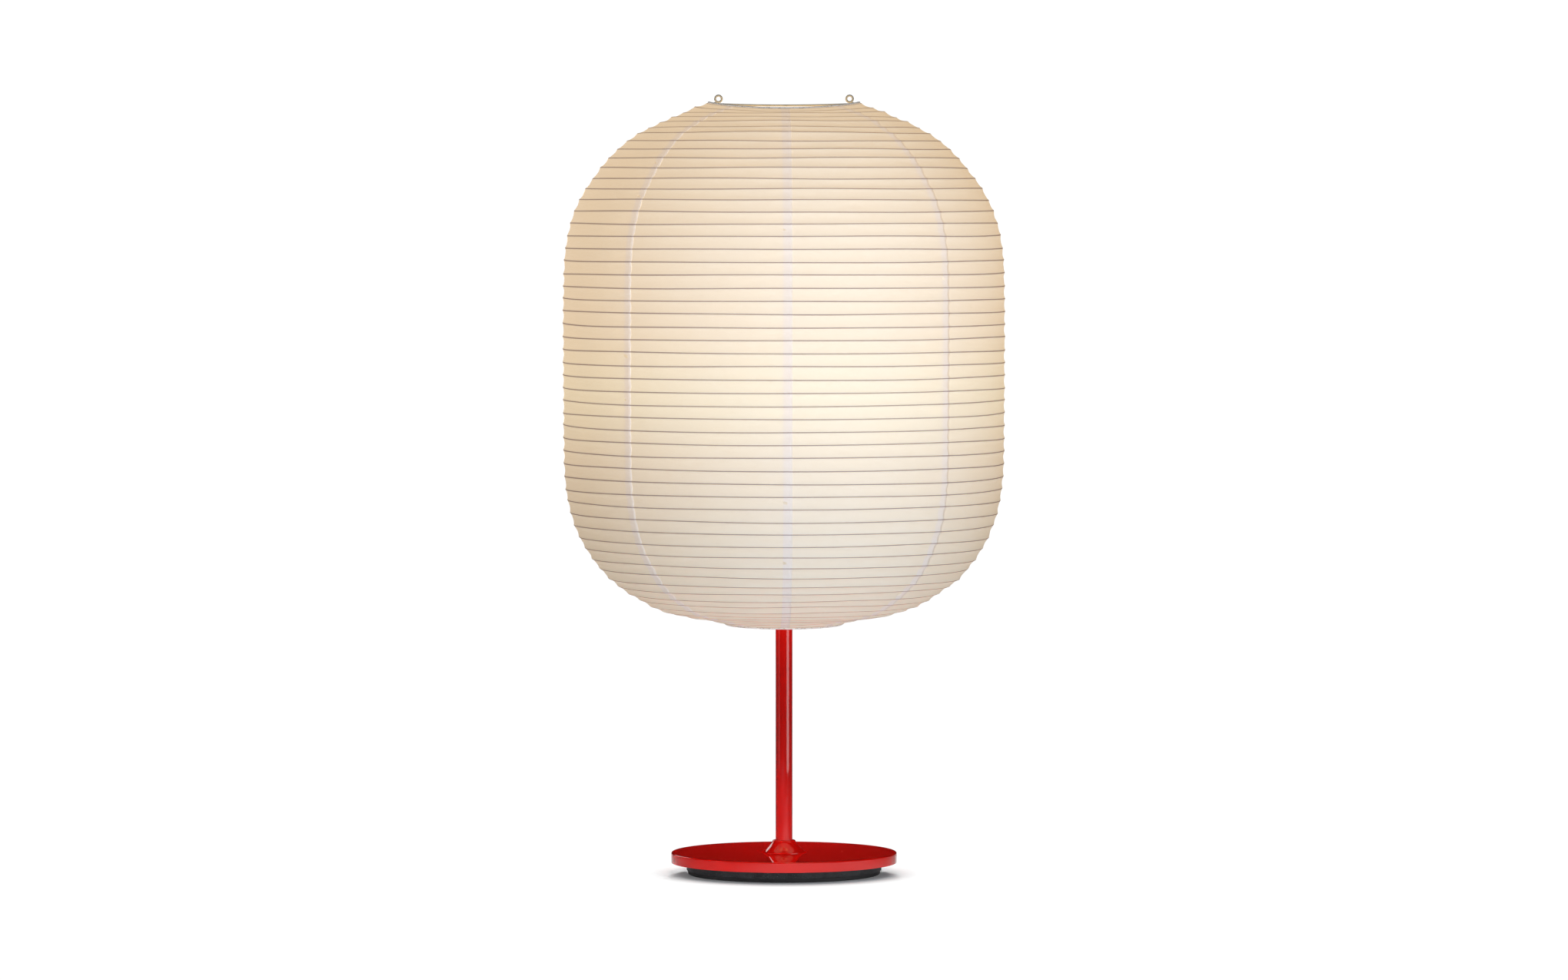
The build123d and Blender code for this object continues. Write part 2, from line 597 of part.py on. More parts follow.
def holder_skirt():
    """Upper half of the lampholder: shoulder for the seat ring and thread for the ring nut."""
    core_space = CORE_RADIUS + FIT
    joint = ring(CAP_RADIUS - CAP_WALL - FIT, core_space, Z_SKIRT - SKIRT_JOINT_OVERLAP, Z_SKIRT)
    plain = ring(CAP_RADIUS, core_space, Z_SKIRT, Z_SKIRT + SKIRT_PLAIN)
    shoulder = ring(SHOULDER_RADIUS, core_space, Z_SKIRT + SKIRT_PLAIN, Z_SHOULDER)
    thread = ring(THREAD_RADIUS, core_space, Z_SHOULDER, Z_THREAD_TOP)
    mouth = ring(SKIRT_MOUTH_RADIUS, core_space, Z_THREAD_TOP, Z_SKIRT_TOP)
    return joint + plain + shoulder + thread + mouth


def core_screw_places():
    """X of the two screws under the core: live and neutral."""
    return [-CORE_SCREW_OFFSET, CORE_SCREW_OFFSET]


def holder_core():
    """Insulating core that carries the screw shell and the centre contact."""
    wall_bore = SHELL_BORE_RADIUS + SHELL_WALL + FIT
    core = rod(CORE_RADIUS, Z_CORE, Z_SHELL)
    core += ring(CORE_RADIUS, wall_bore, Z_SHELL, Z_SHELL_TOP - CORE_WALL)
    for x in core_screw_places():
        core -= rod(CORE_SCREW_RADIUS + FIT, Z_CORE, Z_SHELL - CORE_WALL, x)
    return core


def core_screws():
    """Terminal screws of the lampholder."""
    screws = []
    for x in core_screw_places():
        head = rod(CORE_SCREW_HEAD_RADIUS, Z_CORE - CORE_SCREW_HEAD, Z_CORE, x)
        screws.append(head + rod(CORE_SCREW_RADIUS, Z_CORE, Z_SHELL - CORE_WALL - LOOSE, x))
    return group(screws)


def screw_shell():
    """Threaded metal shell that takes the bulb's cap."""
    outer = SHELL_BORE_RADIUS + SHELL_WALL
    shell = ring(outer, SHELL_BORE_RADIUS, Z_SHELL, Z_SHELL_TOP)
    return shell + ring(outer, SHELL_EYE_RADIUS, Z_SHELL, Z_SHELL + SHELL_WALL)


def centre_contact():
    """Sprung strip that presses up towards the bulb's tip."""
    foot = Z_SHELL + CONTACT_THICKNESS / 2
    head = Z_BULB - CONTACT_THICKNESS
    reach = SHELL_EYE_RADIUS - CONTACT_MARGIN
    half = CONTACT_THICKNESS / 2
    middle = [(-reach, foot), (-reach / 2, foot), (0, head), (reach / 2, head)]
    above = [(x, level + half) for x, level in middle]
    below = [(x, level - half) for x, level in reversed(middle)]
    side = Plane.XZ * make_face(Polyline(*above, *below, close=True))
    return extrude(side, CONTACT_WIDTH / 2, both=True)


# ------------------------------------------------------------------ bulb
def bulb_contact():
    """Solder button at the bulb's tip."""
    return rod(BULB_CONTACT_RADIUS, Z_BULB, Z_BULB + BULB_CONTACT_HEIGHT)


def bulb_insulator():
    """Glass insulator between the tip and the cap."""
    inner = BULB_CAP_RADIUS - THREAD_DEPTH - BULB_CAP_WALL
    low = Z_BULB + BULB_CONTACT_HEIGHT
    return turned([
        (0, low),
        (BULB_CONTACT_RADIUS, low),
        (inner - BULB_CAP_LIP, Z_BULB_CAP),
        (inner - BULB_CAP_LIP, Z_BULB_CAP + BULB_CAP_WALL),
        (0, Z_BULB_CAP + BULB_CAP_WALL),
    ])


def bulb_cap():
    """Metal screw cap with rolled thread crests."""
    root = BULB_CAP_RADIUS - THREAD_DEPTH
    inner = root - BULB_CAP_WALL
    corners = [(inner, Z_BULB_CAP + BULB_CAP_WALL), (inner - BULB_CAP_LIP, Z_BULB_CAP + BULB_CAP_WALL)]
    corners += [(inner - BULB_CAP_LIP, Z_BULB_CAP), (root, Z_BULB_CAP)]
    turns = int((BULB_CAP_HEIGHT - THREAD_PITCH) / THREAD_PITCH)
    for turn in range(turns):
        low = Z_BULB_CAP + THREAD_PITCH / 2 + turn * THREAD_PITCH
        corners += [(root, low), (BULB_CAP_RADIUS, low + THREAD_PITCH / 3)]
        corners += [(BULB_CAP_RADIUS, low + THREAD_PITCH / 2), (root, low + THREAD_PITCH * 5 / 6)]
    corners += [(root, Z_HOUSING), (inner, Z_HOUSING)]
    return turned(corners)


def bulb_housing():
    """White plastic body between the cap and the globe."""
    cone_top = Z_HOUSING + HOUSING_CONE_HEIGHT
    outside = turned([
        (0, Z_HOUSING),
        (HOUSING_NECK_RADIUS, Z_HOUSING),
        (BULB_RADIUS, cone_top),
        (BULB_RADIUS, Z_GLOBE),
        (0, Z_GLOBE),
    ])
    inside = turned([
        (0, Z_HOUSING),
        (HOUSING_NECK_RADIUS - 2 * BULB_WALL, Z_HOUSING),
        (BULB_RADIUS - BULB_WALL, cone_top + BULB_WALL),
        (BULB_RADIUS - BULB_WALL, Z_GLOBE),
        (0, Z_GLOBE),
    ])
    return outside - inside


def bulb_globe():
    """Opal tube with a rounded end."""
    straight = GLOBE_HEIGHT - BULB_RADIUS
    top = Z_GLOBE + straight
    outside = rod(BULB_RADIUS, Z_GLOBE, top) + Pos(0, 0, top) * Sphere(BULB_RADIUS)
    inner = BULB_RADIUS - BULB_WALL
    inside = rod(inner, Z_GLOBE, top) + Pos(0, 0, top) * Sphere(inner)
    return outside - inside


def led_board():
    """Aluminium board that carries the light emitters."""
    radius = BULB_RADIUS - BULB_WALL - FIT
    return rod(radius, Z_GLOBE - LED_BOARD_THICKNESS, Z_GLOBE)


def led_chips():
    """Light emitters round the board."""
    chips = []
    for index in range(LED_COUNT):
        chip = Box(LED_SIZE, LED_SIZE, LED_HEIGHT, align=CENTRED_UP)
        chips.append(Rot(0, 0, 360 * index / LED_COUNT) * Pos(LED_RING, 0, Z_GLOBE) * chip)
    return group(chips)


def driver_board():
    """Small upright circuit board inside the housing."""
    top = Z_GLOBE - LED_BOARD_THICKNESS
    board = Box(DRIVER_WIDTH, DRIVER_THICKNESS, DRIVER_HEIGHT, align=CENTRED_UP)
    return Pos(0, 0, top - DRIVER_HEIGHT) * board


# ------------------------------------------------------------------ stretcher
def seat_washer():
    """Slip washer on the lampholder's shoulder."""
    return ring(SHOULDER_RADIUS, THREAD_RADIUS + SEAT_CLEARANCE / 2, Z_SHOULDER, Z_SEAT)


def seat_ring():
    """Flat steel ring of the stretcher that drops over the lampholder."""
    return ring(SEAT_RING_RADIUS, THREAD_RADIUS + SEAT_CLEARANCE, Z_SEAT, Z_SEAT_TOP)


def ring_nut():
    """Ring nut that clamps the seat ring, with finger grips round its skirt."""
    top = Z_SEAT_TOP + RING_NUT_HEIGHT
    nut = rod(RING_NUT_RADIUS, Z_SEAT_TOP, Z_SEAT_TOP + RING_NUT_FLANGE)
    grip = rod(RING_NUT_GRIP_RADIUS, Z_SEAT_TOP, top)
    for index in range(RING_NUT_GRIPS):
        reach = RING_NUT_GRIP_RADIUS + RING_NUT_GRIP_CUT - RING_NUT_GRIP_DEPTH
        cut = rod(RING_NUT_GRIP_CUT, Z_SEAT_TOP, top, reach)
        grip -= Rot(0, 0, 360 * index / RING_NUT_GRIPS) * cut
    return nut + grip - rod(THREAD_RADIUS + FIT, Z_SEAT_TOP, top)


def side_wire_x(level):
    """X of the right side wire's centre line at a level."""
    foot = bottom_hook_level()
    share = (level - foot) / (Z_EYELET - EYELET_RADIUS - foot)
    return SIDE_WIRE_BOTTOM + share * (EYELET_OFFSET - SIDE_WIRE_BOTTOM)


def bottom_hook_level():
    """Height of the hook that pushes the bottom rim down."""
    return Z_BOTTOM_RIM + BOTTOM_RIM_WIRE_RADIUS + STRETCHER_WIRE_RADIUS + FIT


def top_hook_level():
    """Height of the hook's end that pushes the top rim up."""
    return Z_TOP_RIM - TOP_RIM_WIRE_RADIUS - STRETCHER_WIRE_RADIUS - FIT


def right_side_wire():
    """Side wire: hook under the top rim, eyelet, long run, hook over the bottom rim."""
    loop_foot = (EYELET_OFFSET, 0, Z_EYELET - EYELET_RADIUS)
    run = bent_rod(
        [
            (BOTTOM_RIM_RADIUS, 0, bottom_hook_level()),
            (SIDE_WIRE_BOTTOM, 0, bottom_hook_level()),
            loop_foot,
        ],
        WIRE_BEND,
        STRETCHER_WIRE_RADIUS,
    )
    loop = Pos(EYELET_OFFSET, 0, Z_EYELET) * Rot(90, 0, 0) * Torus(EYELET_RADIUS, STRETCHER_WIRE_RADIUS)
    hook_end = (TOP_RIM_RADIUS - TOP_HOOK_SHORTFALL, 0, top_hook_level())
    hook = straight_rod(loop_foot, hook_end, STRETCHER_WIRE_RADIUS)
    return run + loop + hook


def left_side_wire():
    """Left-hand copy of the side wire."""
    return mirrored(right_side_wire())


def right_spoke():
    """Spoke that joins the seat ring to the side wire."""
    end = side_wire_x(Z_SPOKE) - STRETCHER_WIRE_RADIUS
    return along_x(STRETCHER_WIRE_RADIUS, SEAT_RING_RADIUS, end, 0, Z_SPOKE)


def left_spoke():
    """Left-hand copy of the spoke."""
    return mirrored(right_spoke())


def cross_bar():
    """Bar across the top mouth that keeps the side wires apart; it sags a little."""
    level = Z_EYELET - EYELET_RADIUS - 2 * STRETCHER_WIRE_RADIUS
    end = side_wire_x(level) - STRETCHER_WIRE_RADIUS - 2 * FIT
    path = ThreePointArc((-end, 0, level), (0, 0, level - BAR_SAG), (end, 0, level))
    section = Plane(origin=path @ 0, z_dir=path % 0) * Circle(STRETCHER_WIRE_RADIUS)
    return sweep(section, path=path)


# ------------------------------------------------------------------ shade
def outline_points():
    """Outer outline of the paper from the top rim to the bottom rim, as (radius, height)."""
    top = TOP_RIM_RADIUS + TOP_RIM_WIRE_RADIUS + PAPER_THICKNESS + FIT
    bottom = BOTTOM_RIM_RADIUS + BOTTOM_RIM_WIRE_RADIUS + PAPER_THICKNESS + FIT
    points = [(top, Z_TOP_RIM)]
    for height, growth in reversed(TOP_FORM):
        radius = top + (SHADE_RADIUS - top) * growth
        points.append((radius, Z_WAIST + (Z_TOP_RIM - Z_WAIST) * height))
    points.append((SHADE_RADIUS, Z_WAIST))
    for height, growth in BOTTOM_FORM:
        radius = bottom + (SHADE_RADIUS - bottom) * growth
        points.append((radius, Z_WAIST - (Z_WAIST - Z_BOTTOM_RIM) * height))
    points.append((bottom, Z_BOTTOM_RIM))
    return points


def outline_curve():
    """The outline as one smooth curve, radius across and height up."""
    return Spline(*outline_points())


def inward(curve, share, depth):
    """The point at a share of the curve's length, moved inwards by a depth."""
    point, along = curve @ share, curve % share
    return point.X + along.Y * depth, point.Y - along.X * depth


def paper_section():
    """Cross-section of the paper on one side of the axis."""
    outer = outline_curve()
    steps = 2 * len(outline_points())
    inner = Spline(*[inward(outer, step / steps, PAPER_THICKNESS) for step in range(steps + 1)])
    ends = [Line(outer @ 0, inner @ 0), Line(outer @ 1, inner @ 1)]
    return Plane.XZ * make_face([outer, inner, *ends])


def paper_gore(index):
    """One of the paper gores, from seam to seam."""
    width = 360 / GORE_COUNT
    gore = revolve(paper_section(), Axis.Z, revolution_arc=width)
    return Rot(0, 0, FIRST_SEAM_DEG + index * width) * gore


def shade_hoops():
    """Thin square-section hoops glued inside the paper at an even pitch along the outline."""
    curve = outline_curve()
    count = round(curve.length / HOOP_PITCH)
    half = HOOP_SECTION / 2
    depth = PAPER_THICKNESS + math.hypot(half, half) + FIT
    hoops = []
    for step in range(1, count):
        radius, height = inward(curve, step / count, depth)
        hoops.append(ring(radius + half, radius - half, height - half, height + half))
    return group(hoops)


def top_rim():
    """Wire ring in the paper's top fold."""
    return Pos(0, 0, Z_TOP_RIM) * Torus(TOP_RIM_RADIUS, TOP_RIM_WIRE_RADIUS)


def bottom_rim():
    """Wire ring in the paper's bottom fold."""
    return Pos(0, 0, Z_BOTTOM_RIM) * Torus(BOTTOM_RIM_RADIUS, BOTTOM_RIM_WIRE_RADIUS)


# ------------------------------------------------------------------ nodes
def nodes():
    """Every node of the lamp by name."""
    makers = [
        base_cover, base_weight, foot_ring, bottom_plate, plate_screws, cord_gland,
        terminal_block, terminal_sleeves, terminal_screws, earth_screw, earth_tag, earth_lead,
        foot_washer, foot_nut, pole_foot_plug, pole, collar, pole_head_plug,
        holder_cap, holder_grub_screw, holder_skirt, holder_core, core_screws, screw_shell, centre_contact,
        bulb_contact, bulb_insulator, bulb_cap, bulb_housing, bulb_globe, led_board, led_chips, driver_board,
        seat_washer, seat_ring, ring_nut, left_side_wire, right_side_wire, left_spoke, right_spoke, cross_bar,
        shade_hoops, top_rim, bottom_rim,
    ]
    named = {maker.__name__: maker() for maker in makers}
    named["live_lead"] = pole_lead(-1)
    named["neutral_lead"] = pole_lead(1)
    for index in range(GORE_COUNT):
        named[f"paper_gore_{index + 1}"] = paper_gore(index)
    return named


def main():
    """Write one STEP file for each node."""
    os.makedirs("parts", exist_ok=True)
    for name, shape in nodes().items():
        export_step(shape, os.path.join("parts", f"{name}.step"))


main()
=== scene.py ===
"""Paper lantern table lamp: finishes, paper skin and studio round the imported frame.

Metres, +Z up, front of the lamp towards -Y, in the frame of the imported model.
"""
import json
import logging
import math
from dataclasses import dataclass, field
from enum import Enum
from typing import Iterable, Optional, Sequence, Union

import bmesh
import bpy
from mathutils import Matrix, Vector, noise
from mathutils.bvhtree import BVHTree


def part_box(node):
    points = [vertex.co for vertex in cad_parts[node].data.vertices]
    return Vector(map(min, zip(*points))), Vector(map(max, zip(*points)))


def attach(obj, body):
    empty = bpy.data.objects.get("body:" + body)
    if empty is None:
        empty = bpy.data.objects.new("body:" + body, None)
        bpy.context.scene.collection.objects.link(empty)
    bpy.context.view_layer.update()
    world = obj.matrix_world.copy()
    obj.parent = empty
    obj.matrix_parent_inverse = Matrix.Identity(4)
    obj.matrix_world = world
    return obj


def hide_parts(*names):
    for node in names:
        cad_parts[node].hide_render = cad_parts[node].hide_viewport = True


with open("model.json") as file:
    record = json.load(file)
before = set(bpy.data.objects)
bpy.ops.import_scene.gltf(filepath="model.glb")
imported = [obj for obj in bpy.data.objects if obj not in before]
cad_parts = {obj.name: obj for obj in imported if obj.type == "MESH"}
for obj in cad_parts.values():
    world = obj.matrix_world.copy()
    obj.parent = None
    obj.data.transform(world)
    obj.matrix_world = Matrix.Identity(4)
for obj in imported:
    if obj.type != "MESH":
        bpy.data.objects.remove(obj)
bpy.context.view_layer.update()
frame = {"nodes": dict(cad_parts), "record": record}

logging.basicConfig(level=logging.INFO, format="%(levelname)s %(message)s")
LOG = logging.getLogger("paper_lamp")

Colour = tuple[float, float, float]
Profile = list[tuple[float, float]]


class Body(str, Enum):
    """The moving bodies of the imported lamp."""

    BASE = "base"
    SLIP_WASHER = "slip_washer"
    SHADE = "shade"
    NUT = "nut"
    BULB_TIP = "bulb_tip"
    BULB = "bulb"


# ---------------------------------------------------------------- shader tools
class Signal:
    """One number in a shader; arithmetic on it adds Math nodes."""

    def __init__(self, graph: "ShaderGraph", socket: bpy.types.NodeSocket) -> None:
        """Wrap an output socket of a graph's node."""
        self.graph = graph
        self.socket = socket

    def math(self, operation: str, *others: "Operand") -> "Signal":
        """Add a Math node that starts with this signal.

        Args:
            operation: the Math node's operation.
            others: its other inputs.

        Returns:
            The node's result.
        """
        return self.graph.math(operation, self, *others)

    def __add__(self, other: "Operand") -> "Signal":
        """Sum."""
        return self.graph.math("ADD", self, other)

    def __radd__(self, other: "Operand") -> "Signal":
        """Sum with a number on the left."""
        return self.graph.math("ADD", other, self)

    def __sub__(self, other: "Operand") -> "Signal":
        """Difference."""
        return self.graph.math("SUBTRACT", self, other)

    def __rsub__(self, other: "Operand") -> "Signal":
        """Difference with a number on the left."""
        return self.graph.math("SUBTRACT", other, self)

    def __mul__(self, other: "Operand") -> "Signal":
        """Product."""
        return self.graph.math("MULTIPLY", self, other)

    def __rmul__(self, other: "Operand") -> "Signal":
        """Product with a number on the left."""
        return self.graph.math("MULTIPLY", other, self)

    def __truediv__(self, other: "Operand") -> "Signal":
        """Quotient."""
        return self.graph.math("DIVIDE", self, other)

    def __rtruediv__(self, other: "Operand") -> "Signal":
        """Quotient with a number on the left."""
        return self.graph.math("DIVIDE", other, self)

    def __pow__(self, other: "Operand") -> "Signal":
        """Power."""
        return self.graph.math("POWER", self, other)

    def __abs__(self) -> "Signal":
        """Size without sign."""
        return self.graph.math("ABSOLUTE", self)


Operand = Union[Signal, float]


class ShaderGraph:
    """A material's node tree, with one Principled surface."""

    def __init__(self, name: str) -> None:
        """Start a material that holds an output and a Principled shader.

        Args:
            name: the material's name.
        """
        self.material = bpy.data.materials.new(name)
        self.material.use_nodes = True
        self.tree = self.material.node_tree
        self.tree.nodes.clear()
        self.shader = self.node("ShaderNodeBsdfPrincipled")
        self.output = self.node("ShaderNodeOutputMaterial", inputs={"Surface": self.shader.outputs[0]})

    def node(
        self,
        kind: str,
        settings: Optional[dict] = None,
        inputs: Optional[dict] = None,
    ) -> bpy.types.Node:
        """Add a node.

        Args:
            kind: the node's type.
            settings: attributes set before the sockets; "stops" fills a colour ramp.
            inputs: values or links by socket name or number.

        Returns:
            The new node.
        """
        made = self.tree.nodes.new(kind)
        for key, value in (settings or {}).items():
            if key == "stops":
                self._fill_ramp(made, value)
            else:
                setattr(made, key, value)
        for key, value in (inputs or {}).items():
            self.feed(made.inputs[key], value)
        return made

    def _fill_ramp(self, ramp: bpy.types.Node, stops: Sequence[tuple[float, Colour]]) -> None:
        """Set a colour ramp's stops from (place, colour) pairs."""
        elements = ramp.color_ramp.elements
        while len(elements) < len(stops):
            elements.new(1.0)
        for element, (place, colour) in zip(elements, stops):
            element.position = place
            element.color = (*colour, 1.0)

    def feed(self, socket: bpy.types.NodeSocket, value: object) -> None:
        """Link or set one input.

        Args:
            socket: the input.
            value: a Signal, a socket, a number, a colour or a vector.
        """
        if isinstance(value, Signal):
            self.tree.links.new(value.socket, socket)
        elif isinstance(value, bpy.types.NodeSocket):
            self.tree.links.new(value, socket)
        elif socket.type == "RGBA" and len(value) == 3:
            socket.default_value = (*value, 1.0)
        else:
            socket.default_value = value

    def math(self, operation: str, *operands: Operand) -> Signal:
        """Add a Math node and return its result."""
        made = self.node("ShaderNodeMath", {"operation": operation}, dict(enumerate(operands)))
        return Signal(self, made.outputs[0])

    def attribute(self, name: str) -> Signal:
        """A float attribute of the piece."""
        made = self.node("ShaderNodeAttribute", {"attribute_name": name})
        return Signal(self, made.outputs["Fac"])

    def place(self) -> bpy.types.NodeSocket:
        """The piece's own Object coordinates."""
        return self.node("ShaderNodeTexCoord").outputs["Object"]

    def stretched(self, scale: Sequence[float]) -> bpy.types.NodeSocket:
        """Object coordinates, scaled along each axis."""
        made = self.node("ShaderNodeMapping", {}, {"Vector": self.place(), "Scale": tuple(scale)})
        return made.outputs["Vector"]

    def noise(
        self,
        scale: float,
        detail: float = 2.0,
        vector: Optional[bpy.types.NodeSocket] = None,
        distortion: float = 0.0,
    ) -> Signal:
        """Soft noise between 0 and 1.

        Args:
            scale: repeats for each metre.
            detail: layers of finer noise.
            vector: where it is read; Object coordinates if left out.
            distortion: how far it swirls.

        Returns:
            The noise's value.
        """
        made = self.node(
            "ShaderNodeTexNoise",
            {},
            {"Vector": vector or self.place(), "Scale": scale, "Detail": detail, "Distortion": distortion},
        )
        return Signal(self, made.outputs["Fac"])

    def band(self, value: Operand, low: float, high: float) -> Signal:
        """0 below low, 1 above high, smooth between."""
        made = self.node(
            "ShaderNodeMapRange",
            {"interpolation_type": "SMOOTHSTEP"},
            {"Value": value, "From Min": low, "From Max": high},
        )
        return Signal(self, made.outputs["Result"])

    def mix(self, share: Operand, first: object, second: object, how: str = "MIX") -> bpy.types.NodeSocket:
        """Mix two colours.

        Args:
            share: how much of the second.
            first: a colour or socket.
            second: a colour or socket.
            how: the blend type.

        Returns:
            The mixed colour.
        """
        made = self.node("ShaderNodeMix", {"data_type": "RGBA", "blend_type": how})
        for socket, value in ((0, share), (6, first), (7, second)):
            self.feed(made.inputs[socket], value)
        return made.outputs[2]

    def bump(self, height: Signal, strength: float, distance: float) -> bpy.types.NodeSocket:
        """A normal bent by a height."""
        made = self.node(
            "ShaderNodeBump", {}, {"Height": height, "Strength": strength, "Distance": distance}
        )
        return made.outputs["Normal"]

    def surface(self, **values: object) -> None:
        """Set the Principled shader's inputs by name, with _ for a space."""
        for name, value in values.items():
            self.feed(self.shader.inputs[name.replace("_", " ")], value)


# ---------------------------------------------------------------- finishes
@dataclass(frozen=True)
class Finish:
    """A worked finish: a tone that drifts, a roughness that drifts, a fine relief."""

    name: str
    light: Colour
    dark: Colour
    roughness: tuple[float, float] = (0.35, 0.5)
    metallic: float = 0.0
    grain: float = 400.0
    drift: float = 40.0
    relief: float = 0.15
    relief_depth: float = 0.0002
    coat: float = 0.0
    coat_roughness: float = 0.05
    stretch: tuple[float, float, float] = (1.0, 1.0, 1.0)

    def build(self) -> bpy.types.Material:
        """Make the material."""
        graph = ShaderGraph(self.name)
        where = graph.stretched(self.stretch)
        broad = graph.noise(self.drift, 3.0, where)
        fine = graph.noise(self.grain, 4.0, where)
        tone = graph.band(broad * 0.6 + fine * 0.4, 0.3, 0.7)
        low, high = self.roughness
        graph.surface(
            Base_Color=graph.mix(tone, self.dark, self.light),
            Roughness=fine * (high - low) + low,
            Metallic=self.metallic,
            Coat_Weight=self.coat,
            Coat_Roughness=self.coat_roughness,
            Normal=graph.bump(fine, self.relief, self.relief_depth),
        )
        return graph.material


@dataclass(frozen=True)
class Lacquer:
    """Glossy sprayed lacquer with a faint orange-peel."""

    name: str = "red_lacquer"
    light: Colour = (0.75, 0.0060, 0.0036)
    dark: Colour = (0.69, 0.0050, 0.0030)
    roughness: float = 0.30

    def build(self) -> bpy.types.Material:
        """Make the material."""
        graph = ShaderGraph(self.name)
        cloud = graph.noise(14.0, 3.0)
        speck = graph.band(graph.noise(900.0, 2.0), 0.74, 0.80)
        graph.surface(
            Base_Color=graph.mix(graph.band(cloud, 0.35, 0.65), self.dark, self.light),
            Roughness=speck * 0.12 + self.roughness + cloud * 0.05,
            Specular_IOR_Level=0.0,
            Coat_Weight=1.0,
            Coat_Roughness=0.035,
            Coat_IOR=1.5,
        )
        return graph.material


@dataclass(frozen=True)
class CastIron:
    """Black painted iron with a speckled, sandy skin."""

    name: str = "black_iron"
    light: Colour = (0.040, 0.041, 0.044)
    dark: Colour = (0.010, 0.010, 0.011)
    fleck: Colour = (0.11, 0.11, 0.115)

    def build(self) -> bpy.types.Material:
        """Make the material."""
        graph = ShaderGraph(self.name)
        sand = graph.noise(1500.0, 4.0)
        cloud = graph.noise(90.0, 3.0)
        flecks = graph.band(graph.noise(1100.0, 1.0), 0.66, 0.74)
        tone = graph.mix(graph.band(sand * 0.6 + cloud * 0.4, 0.35, 0.65), self.dark, self.light)
        graph.surface(
            Base_Color=graph.mix(flecks, tone, self.fleck),
            Roughness=0.55 + sand * 0.3,
            Normal=graph.bump(sand, 0.5, 0.0004),
        )
        return graph.material


